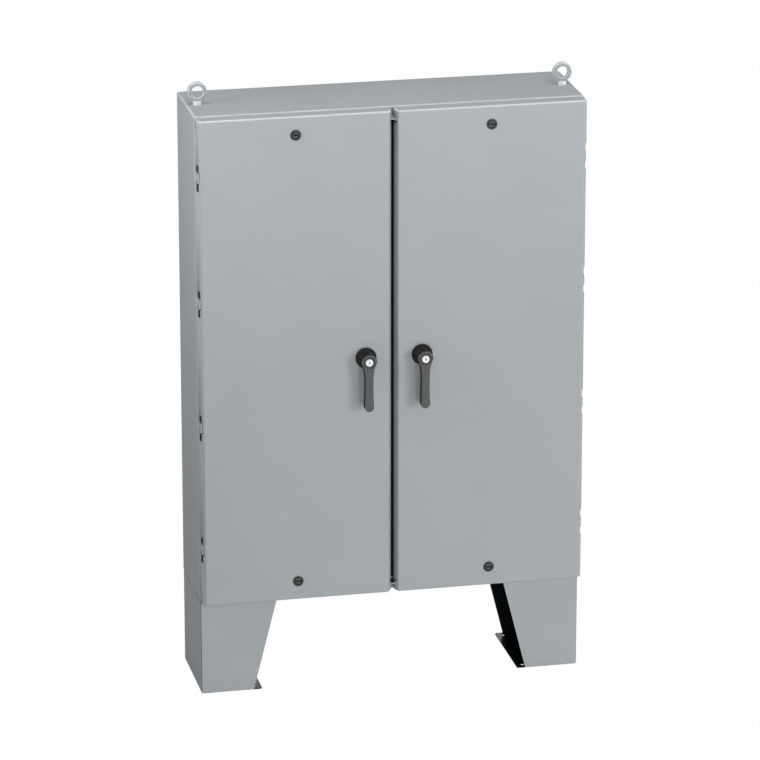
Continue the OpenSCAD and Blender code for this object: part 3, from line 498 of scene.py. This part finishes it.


# ---- hinges ----
# Each hinge is a knuckle on a welded arm that stands in the door's window, two ears inside
# the door, and a plain steel pin through all three. Pin and ears are black: painted shade
# that darkens the door's windows.
hinge_painted_shade = surface("hinge black painted shade", (0.012, 0.012, 0.013), 0.6, mottle=0.15, patch=0.02,
                       relief=0.15, specular=0.1)
for node, finish, slot in (("hinge_leaves", grey_paint, "grey_paint"),
                           ("left_hinge_brackets", hinge_painted_shade, "grey_paint"),
                           ("right_hinge_brackets", hinge_painted_shade, "grey_paint"),
                           ("hinge_pins", hinge_painted_shade, "zinc_steel")):
    eased(node, [finish], 0.0005)


# ---- handle bases ----
# A die cast bezel screws to the door and steps in towards the lever in four rings. It is
# black with a fine cast texture.
handle_black = surface("black cast bezel", (0.0075, 0.0075, 0.008), 0.42, mottle=0.15,
                       grain=0.0007, relief=0.25, specular=0.16)
rings = [(0.033, 0.0, 0.006), (0.0292, 0.0075, 0.0125), (0.0272, 0.0135, 0.0180),
         (0.0252, 0.0190, 0.0254)]
ring_front, ring_foot = 0.0016, 0.0010
outline = [(0.0, 0.0)]
for radius, start, stop in rings:
    outline += [(radius - ring_foot, start), (radius, start + 0.0009),
                (radius, stop - ring_front), (radius - ring_front, stop)]
outline.append((0.0, rings[-1][2]))
spigot = [(0, -0.014), (0.0118, -0.014), (0.0118, 0.001), (0, 0.001)]
for name in sides:
    low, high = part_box(name + "_handle_base")
    centre = Vector(((low.x + high.x) / 2, door_low.y, (low.z + high.z) / 2))
    base = bmesh.new()
    turned(base, outline, centre, to_front, 64)
    turned(base, spigot, centre, to_front, 32)
    bezel = piece(name + "_handle_bezel", base, [handle_black], name + "_door_leaf",
                  30)
    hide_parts(name + "_handle_base")


# ---- levers ----
# The lever is a zinc casting: a hub over the bezel and an arm that narrows below it and
# widens to a round tip. Its body is black and its flat front is dark grey.
lever_face = surface("lever face", (0.088, 0.089, 0.090), 0.5, mottle=0.06, patch=0.02,
                     grain=0.0006, specular=0.3)
lever_side = surface("lever body", (0.006, 0.006, 0.0065), 0.45, mottle=0.15, grain=0.0007,
                     specular=0.12)
# The dish round the key plug is darker: painted shade in the recess.
dish_painted_shade = surface("lever dish painted shade", (0.040, 0.0405, 0.041), 0.5, mottle=0.06, patch=0.02,
                     grain=0.0006, specular=0.2)
hub_r, neck_r, tip_r, lever_len, lever_t = 0.025, 0.0125, 0.01475, 0.160, 0.022
neck_share = 0.58
hub_step = 0.029
hub_ring = [(0, 0), (hub_r - 0.0004, 0), (hub_r, 0.0006), (hub_r, 0.009), (0, 0.009)]
dish_in, dish_out = 0.0132, 0.0186
dish = [(0.0126, -0.010), (0.0126, -0.0008), (0.0134, -0.0002), (0.0188, 0.0007),
        (0.0194, 0.0007), (0.0197, 0.0003), (0.0197, -0.010)]
joints = {joint["name"]: joint for joint in frame["joints"]}


def lever_half(share):
    """Half the arm's width at a share of the way from the axis to the tip."""
    waist = neck_r + (tip_r - neck_r) * max(0, (share - neck_share) / (1 - neck_share)) ** 2
    return waist + (hub_r - neck_r) * max(0, 1 - share / neck_share) ** 3.7


for name in sides:
    axis_at = Vector(joints[name + "_lever_turn"]["pos_m"])
    low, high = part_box(name + "_lever")
    reach = lever_len - tip_r
    points = [(hub_r * cos(pi * i / 18), hub_r * sin(pi * i / 18)) for i in range(1, 18)]
    points += [(-lever_half(i / 24), -reach * i / 24) for i in range(25)]
    points += [(-tip_r * cos(pi * i / 14), -reach - tip_r * sin(pi * i / 14))
               for i in range(1, 14)]
    points += [(lever_half(i / 24), -reach * i / 24) for i in range(24, -1, -1)]
    arm = bmesh.new()
    front_face = solid_from(arm, [(axis_at.x + x, low.y, axis_at.z + z) for x, z in points],
                            (0, lever_t, 0))
    rounded(arm, list(front_face.edges), 0.0012, 3)
    for face in arm.faces:
        face.material_index = int(face.normal.y > -0.35)
    key_at = Vector((axis_at.x, low.y, axis_at.z))
    turned(arm, hub_ring, key_at + Vector((0, hub_step, 0)), to_front, 64, finish=1)
    # The dish takes the darker finish and its innermost ring black: painted shade round the plug.
    for face in turned(arm, dish, key_at, to_front, 64, closed=True):
        from_key = face.calc_center_median() - key_at
        radius = hypot(from_key.x, from_key.z)
        face.material_index = 0 if radius > dish_out else 1 if radius < dish_in else 2
    lever = piece(name + "_lever_arm", arm, [lever_face, lever_side, dish_painted_shade],
                  name + "_lever_and_plate", 28)
    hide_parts(name + "_lever")


# ---- key plugs ----
# The lock's plug fills the lever's hub. It is bright chrome plate with a rolled rim and a
# straight keyway.
def slotted_disc(shape, centre, radius, slot, depth, rim, steps=48):
    """A disc facing the front with a rounded slot let into it; slot is its half width and
    half height. The slot takes the piece's second finish, a black that paints the shade inside it."""
    ring = bmesh.ops.create_circle(shape, cap_ends=True, segments=steps, radius=radius,
                                   matrix=Matrix.Translation(centre) @ to_front)["verts"]
    made = set(ring)
    places = [(radius, depth * 2), (radius, rim), (radius - rim, 0), (None, 0), (None, depth)]
    for i, (reach, back) in enumerate(places):
        if i:
            edges = {e for v in ring for e in v.link_edges if e.other_vert(v) in ring}
            raised = bmesh.ops.extrude_edge_only(shape, edges=list(edges))["geom"]
            ring = corners(raised)
            made.update(ring)
        for v in ring:
            way = Vector((v.co.x - centre.x, 0, v.co.z - centre.z))
            if reach:
                way = way.normalized() * reach
            elif back == 0:
                way.normalize()
                way /= (abs(way.x) ** 4 + abs(way.z) ** 4) ** 0.25
                way = Vector((slot[0] * way.x, 0, slot[1] * way.z))
            v.co = centre + way + Vector((0, back, 0))
    edges = {e for v in ring for e in v.link_edges if e.other_vert(v) in ring}
    bmesh.ops.contextual_create(shape, geom=list(edges))
    faces = {f for v in made for f in v.link_faces}
    bmesh.ops.recalc_face_normals(shape, faces=list(faces))
    for face in {f for v in ring for f in v.link_faces}:
        face.material_index = 1


chrome = surface("chrome plate", (0.86, 0.87, 0.88), 0.16, metallic=1.0, mottle=0.02,
                 patch=0.004, grain=0.0005, relief=0.05)
# The black of keyways and latch slots is painted shade inside the slots.
slot_painted_shade = surface("keyway", (0.01, 0.01, 0.01), 0.6, mottle=0.04, patch=0.05,
                       grain=0.0005, relief=0.1, specular=0.1)
plug_r, keyway_half = 0.0118, (0.0019, 0.0042)
plug_ring = [(0.0095, -0.0005), (0.0098, 0.0004), (0.0108, 0.0004), (0.0111, -0.0005)]
for name in sides:
    low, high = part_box(name + "_key_plug")
    centre = Vector(((low.x + high.x) / 2, low.y, (low.z + high.z) / 2))
    plug = bmesh.new()
    slotted_disc(plug, centre, plug_r, keyway_half, 0.005, 0.0012)
    turned(plug, plug_ring, centre, to_front, 48, closed=True)
    lock_plug = piece(name + "_lock_plug", plug, [chrome, slot_painted_shade], name + "_key",
                      30)
    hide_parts(name + "_key_plug")


# ---- latch plates and rods ----
# Behind each lever a zinc plated plate turns with its shaft. Two pins on it drive the flat
# rods up and down, and its pawl passes behind the centre post.
for name in sides:
    for part in ("latch_plate", "upper_rod", "lower_rod"):
        eased(name + "_" + part, [zinc], 0.0005)


# ---- quarter-turn latches ----
# Two small quarter-turn locks pull the top and the bottom of each door tight. A black
# domed housing fills the hole in the door; its insert is slotted, and turns a cam inside.
def block(shape, corner, opposite, ease=0.0008, segments=2, finish=0):
    """Adds a block between two corners, with its edges eased. Its faces take the piece's
    finish of that number."""
    corner, opposite = Vector(corner), Vector(opposite)
    size = Vector([abs(length) for length in opposite - corner])
    before = set(shape.faces)
    made = bmesh.ops.create_cube(shape, size=1, matrix=Matrix.LocRotScale(
        (corner + opposite) / 2, None, size))
    if ease:
        rounded(shape, {e for v in made["verts"] for e in v.link_edges}, ease, segments)
    faces = [f for f in shape.faces if f not in before]
    for face in faces:
        face.material_index = finish
    return faces


latch_black = surface("latch housing", (0.016, 0.016, 0.0165), 0.26, patch=0.006,
                      grain=0.0006, specular=0.4)
insert_black = surface("latch insert", (0.110, 0.110, 0.108), 0.32, patch=0.006,
                       grain=0.0006, specular=0.3)
latch_rim = [(0, 0), (0.0165, 0), (0.017, 0.0006), (0.0168, 0.0018), (0.0152, 0.0036),
             (0.0128, 0.0048), (0.0112, 0.0050), (0.0100, 0.0046), (0.0096, 0.0004),
             (0, 0.0003)]
latch_barrel = [(0, 0.0005), (0.011, 0.0005), (0.011, -0.022), (0, -0.022)]
latch_nut = [(0, -0.0019), (0.0145, -0.0019), (0.0145, -0.0074), (0, -0.0079)]
insert_r, insert_half = 0.0094, (0.0084, 0.0026)
insert_shank = [(0, 0.0), (0.006, 0.0), (0.006, -0.0510), (0, -0.0510)]
cam_hub = [(0, 0), (0.0095, 0), (0.010, -0.0004), (0.010, -0.0032), (0, -0.0032)]
cam_screw = [(0, 0), (0.0075, 0), (0.0075, -0.0037), (0.0065, -0.0042), (0, -0.0042)]
cam_y, cam_t, cam_half, cam_reach = body_low.y + 0.0045, 0.003, 0.008, 0.038
for name, side in sides.items():
    housing = bmesh.new()
    for end in ("top", "bottom"):
        pin = Vector(joints[name + "_" + end + "_latch_turn"]["pos_m"])
        at_door = Vector((pin.x, door_low.y, pin.z))
        turned(housing, latch_rim, at_door, to_front, 48)
        turned(housing, latch_barrel, at_door, to_front, 32)
        turned(housing, latch_nut, at_door, to_front, 6)
        low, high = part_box(name + "_" + end + "_latch")
        insert = bmesh.new()
        slotted_disc(insert, Vector((pin.x, low.y + 0.0022, pin.z)), insert_r, insert_half,
                     0.0014, 0.0012, 40)
        turned(insert, insert_shank, Vector((pin.x, low.y + 0.0050, pin.z)), to_front, 24)
        cam = block(insert, (pin.x, cam_y, pin.z - cam_half),
                    (pin.x + side * cam_reach, cam_y + cam_t, pin.z + cam_half), 0)
        end_edges = [e for e in {e for f in cam for e in f.edges}
                     if abs(e.verts[0].co.y - e.verts[1].co.y) > 0.002
                     and (e.verts[0].co.x - pin.x) * side > 0.03]
        rounded(insert, end_edges, 0.0075, 5)
        turned(insert, cam_hub, Vector((pin.x, cam_y, pin.z)), to_front, 40)
        turned(insert, cam_screw, Vector((pin.x, cam_y + cam_t, pin.z)), to_front, 6)
        # The insert's slot takes the black painted shade.
        latch = piece(name + "_" + end + "_latch_insert", insert, [insert_black, slot_painted_shade],
                      name + "_quarter_turn_" + end, 30)
        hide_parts(name + "_" + end + "_latch")
    rims = piece(name + "_latch_rims", housing, [latch_black], name + "_door_leaf",
                 30)
    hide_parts(name + "_latch_housings")


# ---- document pocket ----
# The pocket for the drawings and the manual is moulded in grey polystyrene. It is stuck to
# the inside of the left door.
pocket_grey = surface("pocket plastic", (0.52, 0.53, 0.52), 0.45, mottle=0.03, patch=0.04,
                      grain=0.0012)
eased("document_pocket", [pocket_grey], 0.0009, 3)


# ---- mounting panel ----
# The panel is a flat steel sheet enamelled white, and carries all the gear. It stands on
# spacers on six studs, and a nut on each stud holds it.
panel_white = surface("white enamel", (0.74, 0.74, 0.72), 0.34, mottle=0.02, patch=0.15,
                      grain=0.002, relief=0.06)
eased("mounting_panel", [panel_white], 0.0008)


# ---- ground and neutral bars ----
# Both are hard drawn copper bars with a row of holes. The ground bar sits on two brackets;
# the neutral bar stands on two ribbed insulators.
copper = surface("copper bar", (0.52, 0.25, 0.13), 0.34, metallic=1.0, mottle=0.16,
                 patch=0.02, grain=0.0012, relief=0.12, stretch=(0.15, 1, 1))
flecked(copper, 0.006, (0.26, 0.12, 0.07), 0.35)
insulator_red = surface("moulded insulator", (0.30, 0.030, 0.022), 0.40, mottle=0.12,
                        patch=0.012, grain=0.0015)
low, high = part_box("ground_bar")
bracket_y = low.y + 0.0065
eased("ground_bar", [copper, zinc], 0.0006,
      choose=lambda middle: int(middle.y > bracket_y))
screw_head = [(0, 0), (0.0058, 0), (0.0062, 0.0008), (0.0060, 0.0032), (0.0045, 0.0044),
              (0, 0.0046)]
screw_shank = [(0, 0.0003), (0.003, 0.0003), (0.003, -0.009), (0, -0.010)]
first_screw, screw_pitch = 0.080, 0.029
screws = bmesh.new()
for i in range(10):
    at = Vector((first_screw + i * screw_pitch, low.y, (low.z + high.z) / 2))
    turned(screws, screw_head, at, to_front, 24)
    turned(screws, screw_shank, at, to_front, 16)
piece("ground_screws", screws, [zinc], "cabinet", 30)
low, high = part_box("neutral_bar")
bar_back, rib_pitch = low.y + 0.008, 0.009
eased("neutral_bar", [copper, insulator_red], 0.0006,
      choose=lambda middle: int(middle.y > bar_back + 0.0005))
rib = [(0.0165, 0), (0.0200, 0.0015), (0.0200, 0.0035), (0.0165, 0.005)]
ribs = bmesh.new()
for z in (0.865, 1.085):
    for step in range(4):
        at = Vector(((low.x + high.x) / 2, bar_back + 0.006 + rib_pitch * step, z))
        turned(ribs, rib, at, Matrix.Rotation(radians(-90), 4, "X"), 40)
piece("insulator_ribs", ribs, [insulator_red], "cabinet", 30)


# ---- wiring ducts ----
# Slotted grey plastic ducts run up both sides of the panel and across its top. Each has
# a row of fingers in both walls and a snap-on cover.
duct_grey = surface("duct plastic", (0.46, 0.47, 0.48), 0.5, mottle=0.03, patch=0.08,
                    grain=0.0015, relief=0.15)
low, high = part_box("wiring_ducts")
duct_w, duct_wall, duct_gap = 0.045, 0.0018, 0.001
finger_w, finger_pitch = 0.0075, 0.0125
foot = (high.y - 0.012, high.y - duct_wall)
lip = (low.y + 0.0022, low.y + 0.007)
ducts = bmesh.new()


def duct(along, across, upright):
    """A run of duct between two ends and between two sides, upright or level."""
    def part(length, depth, width, ease=0):
        xs, zs = (width, length) if upright else (length, width)
        block(ducts, (xs[0], depth[0], zs[0]), (xs[1], depth[1], zs[1]), ease)

    part(along, (foot[1], high.y), across)
    part(along, (low.y, lip[0]), across, 0.0008)
    for side_wall in ((across[0], across[0] + duct_wall), (across[1] - duct_wall, across[1])):
        part(along, foot, side_wall)
        part(along, lip, side_wall)
        for i in range(int((along[1] - along[0]) / finger_pitch)):
            start = along[0] + 0.002 + i * finger_pitch
            part((start, start + finger_w), (lip[1], foot[0]), side_wall)


duct((low.z, high.z), (low.x, low.x + duct_w), True)
duct((low.z, high.z), (high.x - duct_w, high.x), True)
duct((low.x + duct_w + duct_gap, high.x - duct_w - duct_gap), (high.z - duct_w, high.z), False)
slotted_ducts = piece("slotted_ducts", ducts, [duct_grey], "cabinet", 30)
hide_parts("wiring_ducts")


# ---- terminal blocks ----
# Twelve grey terminal blocks clip side by side on a plated rail. Each has a screw above
# and one below, and a plain marker strip between them.
terminal_grey = surface("terminal nylon", (0.30, 0.32, 0.33), 0.5, mottle=0.04, patch=0.02,
                        relief=0.15)
marker_white = surface("marker strip", (0.72, 0.72, 0.70), 0.5, mottle=0.03, patch=0.02,
                       relief=0.1)
low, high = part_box("terminal_blocks")
middle_z = (low.z + high.z) / 2
rail_len, rail_half, rail_lip, web_half = 0.190, 0.017, 0.005, 0.0125
rail_deep, rail_sheet = 0.0078, 0.0012
block_w, block_pitch = 0.014, 0.015
collar_ring = [(0.0046, -0.001), (0.0046, 0.0016), (0.0040, 0.0018), (0.0036, -0.0006),
               (0, -0.0006)]
clamp_screw = [(0, 0), (0.0030, 0), (0.0033, 0.0004), (0.0033, 0.0010), (0, 0.0012)]
terminals = bmesh.new()
lip_back = rail_deep - rail_sheet
for front, back, z0, z1 in ((rail_sheet, 0, -web_half, web_half),
                            (rail_deep, 0, -web_half, rail_sheet - web_half),
                            (rail_deep, 0, web_half - rail_sheet, web_half),
                            (rail_deep, lip_back, -rail_half, rail_lip - rail_half),
                            (rail_deep, lip_back, rail_half - rail_lip, rail_half)):
    block(terminals, (low.x, high.y - front, middle_z + z0),
          (low.x + rail_len, high.y - back, middle_z + z1), 0.0003, finish=1)
for i in range(12):
    x0, y0 = low.x + 0.006 + i * block_pitch, high.y - 0.048
    block(terminals, (x0, y0 + 0.006, middle_z - 0.030),
          (x0 + block_w, high.y - 0.0079, middle_z + 0.030), 0.0007)
    block(terminals, (x0, y0, middle_z - 0.0095),
          (x0 + block_w, y0 + 0.0065, middle_z + 0.0095), 0.0007)
    block(terminals, (x0 + 0.0015, y0 - 0.0004, middle_z - 0.005),
          (x0 + block_w - 0.0015, y0 + 0.001, middle_z + 0.005), 0.0002, finish=2)
    for up in (-0.0195, 0.0195):
        at = Vector((x0 + block_w / 2, y0 + 0.0062, middle_z + up))
        turned(terminals, collar_ring, at, to_front, 20)
        turned(terminals, clamp_screw, at - Vector((0, 0.0004, 0)), to_front, 16, finish=1)
terminal_strip = piece("terminal_strip", terminals, [terminal_grey, zinc, marker_white],
                       "cabinet", 30)
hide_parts("terminal_blocks")


# ---- control transformers ----
# Two small transformers stand on feet: a stack of steel laminations round a taped
# winding, with a terminal strip on top of each.
def banded(finish, direction, scale, distortion, strength, depth):
    """Adds fine parallel ridges in relief to a finish, for stacked plates or wound turns."""
    place = add_node(finish, "TexCoord").outputs["Object"]
    bands = add_node(finish, "TexWave", {"bands_direction": direction}, Vector=place,
                     Scale=scale, Distortion=distortion, Detail=1.0).outputs["Fac"]
    normal = finish.node_tree.nodes["Principled BSDF"].inputs["Normal"]
    ridges = add_node(finish, "Bump", Strength=strength, Distance=depth, Height=bands,
                      Normal=normal.links[0].from_socket)
    finish.node_tree.links.new(ridges.outputs["Normal"], normal)


laminations = surface("laminated core", (0.11, 0.115, 0.125), 0.5, metallic=0.6, patch=0.02)
banded(laminations, "Y", 160.0, 0.3, 0.4, 0.0004)
winding_tape = surface("winding tape", (0.42, 0.24, 0.07), 0.45)
banded(winding_tape, "Z", 55.0, 0.6, 0.5, 0.0006)
low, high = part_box("control_transformer")
core_w, core_h, limb, yoke = 0.110, 0.104, 0.020, 0.030
strip_screw = [(0, 0), (0.0042, 0), (0.0046, 0.0006), (0.0040, 0.0022), (0, 0.0026)]
core_bolt = [(0, 0), (0.006, 0), (0.006, 0.003), (0.0055, 0.0035), (0, 0.0035)]
core = bmesh.new()
for i in (0, 1):
    x0, z0 = low.x + 0.010 + i * 0.150, low.z + 0.012
    x1, z1 = x0 + core_w, z0 + core_h
    y0, y1 = low.y + 0.012, high.y - 0.004
    block(core, (x0 - 0.010, y1, low.z), (x1 + 0.010, high.y, z1 + 0.012), finish=2)
    block(core, (x0, y0, z0), (x1, y1, z0 + yoke))
    block(core, (x0, y0, z1 - yoke), (x1, y1, z1))
    block(core, (x0, y0, z0 + yoke), (x0 + limb, y1, z1 - yoke))
    block(core, (x1 - limb, y0, z0 + yoke), (x1, y1, z1 - yoke))
    block(core, (x0 + 0.022, low.y, z0 + 0.031), (x1 - 0.022, y1, z1 - 0.031), 0.006, 4, 1)
    block(core, (x0 + 0.008, y0 - 0.006, z0 + 0.078), (x1 - 0.008, y0, z0 + 0.100), 0.001,
          finish=3)
    for k in range(6):
        at = Vector((x0 + 0.0175 + k * block_pitch, y0 - 0.006, z0 + 0.089))
        turned(core, strip_screw, at, to_front, 16, finish=2)
    for x in (x0 + 0.010, x1 - 0.010):
        turned(core, core_bolt, Vector((x, y0, z0 + 0.010)), to_front, 6, finish=2)
transformers = piece("transformers", core, [laminations, winding_tape, zinc, terminal_grey],
                     "cabinet", 30)
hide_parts("control_transformer")


# ---- controller ----
# The controller is a dark moulded case with a fitted front: a glossy display on a raised
# plate, eight rubber keys and a column of five indicator lamps. It carries no lettering.
case_black = surface("controller case", (0.035, 0.037, 0.040), 0.45, mottle=0.06,
                     patch=0.03, grain=0.0012, relief=0.25)
front_black = surface("controller front", (0.022, 0.026, 0.030), 0.35, mottle=0.05,
                      patch=0.03, relief=0.1)
display = surface("display", (0.20, 0.34, 0.26), 0.12, mottle=0.05, relief=0.02)
key_grey = surface("rubber keys", (0.35, 0.36, 0.38), 0.6, mottle=0.05, grain=0.0008)
lamp_green = surface("green lamp", (0.04, 0.42, 0.09), 0.15, patch=0.003, grain=0.0005,
                     relief=0.1)
lamp_red = surface("red lamp", (0.55, 0.03, 0.02), 0.15, patch=0.003, grain=0.0005,
                   relief=0.1)
eased("controller_case", [case_black], 0.0016, 3)
low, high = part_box("controller_face")
panel_y = high.y - 0.003
key_w, key_h, key_pitch = 0.026, 0.020, 0.032
lamp_x, lowest_lamp, lamp_pitch = -0.277, 1.510, 0.025
lamp_ring = [(0.0032, 0), (0.0052, 0), (0.0050, 0.0010), (0.0036, 0.0010)]
lamp_lens = [(0, 0.0), (0.0035, 0.0), (0.0034, 0.0010), (0.0022, 0.0017), (0, 0.0019)]
controls = bmesh.new()
block(controls, (low.x, panel_y, low.z), high, 0.0012)
block(controls, (-0.440, panel_y - 0.0012, 1.565), (-0.310, panel_y + 0.001, 1.630), 0.001,
      finish=3)
block(controls, (-0.434, panel_y - 0.0016, 1.571), (-0.316, panel_y, 1.624), 0.0003,
      finish=1)
for z in (1.505, 1.531):
    for i in range(4):
        x = -0.433 + i * key_pitch
        block(controls, (x, panel_y - 0.0018, z), (x + key_w, panel_y + 0.0005, z + key_h),
              0.0012, 3, 2)
for i, lamp in enumerate((4, 4, 5, 5, 4)):
    at = Vector((lamp_x, panel_y, lowest_lamp + i * lamp_pitch))
    turned(controls, lamp_ring, at, to_front, 24, finish=3)
    turned(controls, lamp_lens, at, to_front, 24, finish=lamp)
controller_front = piece("controller_front", controls,
                         [front_black, display, key_grey, case_black, lamp_green, lamp_red],
                         "cabinet", 30)
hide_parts("controller_face")


# ---- switch base and arc chutes ----
# The switch stands on a red glass-polyester moulding with barriers between its poles. A
# cream chute covers each fixed contact and holds a stack of steel splitter plates.
red_moulding = surface("red polyester moulding", (0.235, 0.036, 0.028), 0.42, mottle=0.16,
                       patch=0.006, grain=0.0016)
flecked(red_moulding, 0.003, (0.34, 0.09, 0.07), 0.4)
chute_cream = surface("chute moulding", (0.60, 0.56, 0.46), 0.55, mottle=0.06, patch=0.012,
                      grain=0.0014, relief=0.25)
axle = Vector(joints["transfer_shaft_turn"]["pos_m"])
poles = [-0.115, 0.0, 0.115]
eased("switch_base", [red_moulding], 0.0012, 3)
eased("arc_chutes", [chute_cream], 0.0012, 3)
plate_half, plate_pitch = 0.040, 0.019
plates = bmesh.new()
for x in poles:
    for s in (-1, 1):
        for i in range(7):
            y = axle.y - 0.110 + i * plate_pitch
            block(plates, (x - plate_half, y + 0.0018, axle.z + s * 0.110),
                  (x + plate_half, y + 0.0042, axle.z + s * 0.1985), 0.0003, 1)
piece("splitter_plates", plates, [zinc], "cabinet", 30)


# ---- bus bars, bolts and cable lugs ----
# Copper bars join each pole's contacts to its terminals. A tinned aluminium lug is bolted
# to each end and takes one cable under two socket screws.
lug_metal = surface("tinned lug", (0.43, 0.44, 0.45), 0.36, metallic=1.0, mottle=0.08,
                    grain=0.0008)
bar_copper = surface("bus bar", (0.52, 0.255, 0.135), 0.34, metallic=1.0, mottle=0.14,
                     patch=0.02, grain=0.0012, relief=0.12, stretch=(1, 1, 0.15))
flecked(bar_copper, 0.006, (0.27, 0.125, 0.07), 0.35)
eased("bus_bars", [bar_copper], 0.0008)
eased("wire_lugs", [lug_metal], 0.0010)
lug_places = [(x, axle.y + 0.050, axle.z + s * 0.250) for x in poles for s in (-1, 1)]
lug_places += [(x + 0.036, axle.y + 0.067, axle.z - 0.319) for x in poles]
lug_places += [(0.355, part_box("neutral_bar")[0].y, z) for z in (0.900, 1.050)]
socket_screw = [(0, -0.001), (0.0025, -0.001), (0.0028, 0.0008), (0.0048, 0.0010),
                (0.0054, 0.0004), (0.0054, -0.001)]
bolts = bmesh.new()
for x, y, z in lug_places:
    for up in (-0.012, 0.012):
        turned(bolts, socket_screw, Vector((x, y - 0.038, z + up)), to_front, 18)
piece("lug_screws", bolts, [zinc], "cabinet", 30)


# ---- transfer shaft and contact arms ----
# One steel shaft carries a moulded rotor and a silver plated contact arm for each pole, a
# crank for the operator, a yellow position flag and a grip to turn it by hand.
shaft_steel = surface("machined steel", (0.42, 0.43, 0.45), 0.30, metallic=1.0, mottle=0.06,
                      grain=0.0006, stretch=(4, 1, 1))
silver = surface("silver plate", (0.56, 0.55, 0.52), 0.32, metallic=1.0, mottle=0.08,
                 patch=0.006, grain=0.0008, relief=0.1)
flecked(silver, 0.004, (0.50, 0.45, 0.36), 0.25)
flag_yellow = surface("flag enamel", (0.72, 0.44, 0.02), 0.38, mottle=0.04, relief=0.08)
grip_black = surface("grip", (0.015, 0.015, 0.016), 0.55, mottle=0.15, grain=0.0008,
                     relief=0.3)
rotor_half, rotor_r = 0.0301, 0.0125


def on_rotor(middle):
    """The moulding's finish for a face of the rotors, and the shaft's for the others."""
    from_axle = hypot(middle.y - axle.y, middle.z - axle.z)
    return int(from_axle > rotor_r and any(abs(middle.x - x) < rotor_half for x in poles))


eased("main_shaft", [shaft_steel, red_moulding], 0.0007, choose=on_rotor)
eased("contact_arms", [silver], 0.0010)
eased("position_flag", [flag_yellow], 0.0008)
eased("manual_handle", [grip_black], 0.0012, 3)


# ---- operator ----
# A solenoid beside the switch throws the shaft: a steel frame, a taped coil on a bobbin,
# and a plated plunger whose yoke takes the crank's pin.
low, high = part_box("operator_coil")
coil_y = axle.y - 0.035 * cos(radians(25))
coil_x = (low.x + high.x) / 2


def in_coil(middle):
    """The tape's finish for a face of the coil, and the frame's for the others."""
    near = hypot(middle.x - coil_x, middle.y - coil_y) < 0.0325
    return int(near and low.z + 0.0085 < middle.z < high.z - 0.0085)


eased("operator_coil", [laminations, winding_tape], 0.0008, choose=in_coil)
eased("operator_plunger", [zinc], 0.0008)


# ---- control harness ----
# A round bundle of black control wires runs in front of the panel, from the terminal
# blocks across and down to the coil.
cable_black = surface("wire bundle", (0.014, 0.014, 0.015), 0.45, mottle=0.2, patch=0.004,
                      relief=0.3)
eased("control_harness", [cable_black], 0.0004)


# ---- floor and light ----
# The cabinet stands on a plain pale floor in a white studio. Two large lamps stand in
# front, one low and one at the right, and a small one on the left picks out the door's
# bevel. Two strips hang over the top edge, and two fills light the back and the right side.
def seen_directly(finish):
    """1 for what the camera, a mirror or glass sees, and 0 for the light that it gives."""
    rays = add_node(finish, "LightPath").outputs
    seen = maths(finish, "MAXIMUM", rays["Is Camera Ray"], rays["Is Glossy Ray"])
    return maths(finish, "MAXIMUM", seen, rays["Is Transmission Ray"])


def mixed_surface(finish, factor, one, other, end):
    """Ends a material or a world in a mix of two shaders."""
    mixed = add_node(finish, "MixShader", Fac=factor)
    link = finish.node_tree.links.new
    link(one.outputs[0], mixed.inputs[1])
    link(other.outputs[0], mixed.inputs[2])
    link(mixed.outputs[0], finish.node_tree.nodes[end].inputs["Surface"])


floor = bmesh.new()
bmesh.ops.create_grid(floor, x_segments=1, y_segments=1, size=14)
ground = bpy.data.meshes.new("floor")
floor.to_mesh(ground)
floor.free()
studio_floor = bpy.data.objects.new("floor", ground)
bpy.context.scene.collection.objects.link(studio_floor)
floor_white = bpy.data.materials.new("studio floor")
floor_white.use_nodes = True
shader = floor_white.node_tree.nodes["Principled BSDF"]
shader.inputs["Base Color"].default_value = (0.65, 0.65, 0.65, 1)
shader.inputs["Roughness"].default_value = 0.9
shader.inputs["Specular IOR Level"].default_value = 0.0
glow = add_node(floor_white, "Emission", Color=(1, 1, 1, 1), Strength=1.0)
seen = maths(floor_white, "MULTIPLY", seen_directly(floor_white), 0.98)
mixed_surface(floor_white, seen, shader, glow, "Material Output")
ground.materials.append(floor_white)

world = bpy.data.worlds.new("studio")
world.use_nodes = True
bpy.context.scene.world = world
back_light = world.node_tree.nodes["Background"]
back_light.inputs["Color"].default_value = (1, 1, 1, 1)
back_light.inputs["Strength"].default_value = 0.21
white = add_node(world, "Background", Color=(1, 1, 1, 1), Strength=1.0)
mixed_surface(world, seen_directly(world), back_light, white, "World Output")


def soft_lamp(name, place, target, width, height, power, spread=180):
    """A rectangular studio lamp at a place, aimed at a target. A grid limits its spread."""
    lamp = bpy.data.lights.new(name, "AREA")
    lamp.shape = "RECTANGLE"
    lamp.size, lamp.size_y = width, height
    lamp.energy = power
    lamp.spread = radians(spread)
    made = bpy.data.objects.new(name, lamp)
    made.location = place
    made.rotation_mode = "QUATERNION"
    made.rotation_quaternion = (Vector(place) - Vector(target)).to_track_quat("Z", "Y")
    made.visible_camera = False
    bpy.context.scene.collection.objects.link(made)
    return made


middle = (cad_low + cad_high) / 2
low_front = soft_lamp("low front", (0.2, -4.2, 0.15), (0, -0.2, 0.2), 2.0, 0.8, 86)
low_front.visible_glossy = False  # or the chrome key plugs show it as a white bar
soft_lamp("right", (2.6, -4.2, 1.8), (0, -0.2, 0.6), 1.2, 1.6, 72)
soft_lamp("side", (-2.0, -0.55, 2.2), (-0.6, -0.1, 1.7), 0.6, 0.6, 15)
soft_lamp("overhead", (0.0, -0.35, 3.3), (0, 0.0, 1.88), 2.8, 0.5, 14.5)
soft_lamp("edge strip", (0.1, -1.7, 3.4), (0, -0.17, 1.88), 2.4, 0.2, 1.5, 34)
soft_lamp("rear fill", (1.0, 4.6, 0.9), middle, 2.0, 1.6, 150)
soft_lamp("right fill", (4.6, 0.3, 1.8), middle, 1.5, 2.0, 60)
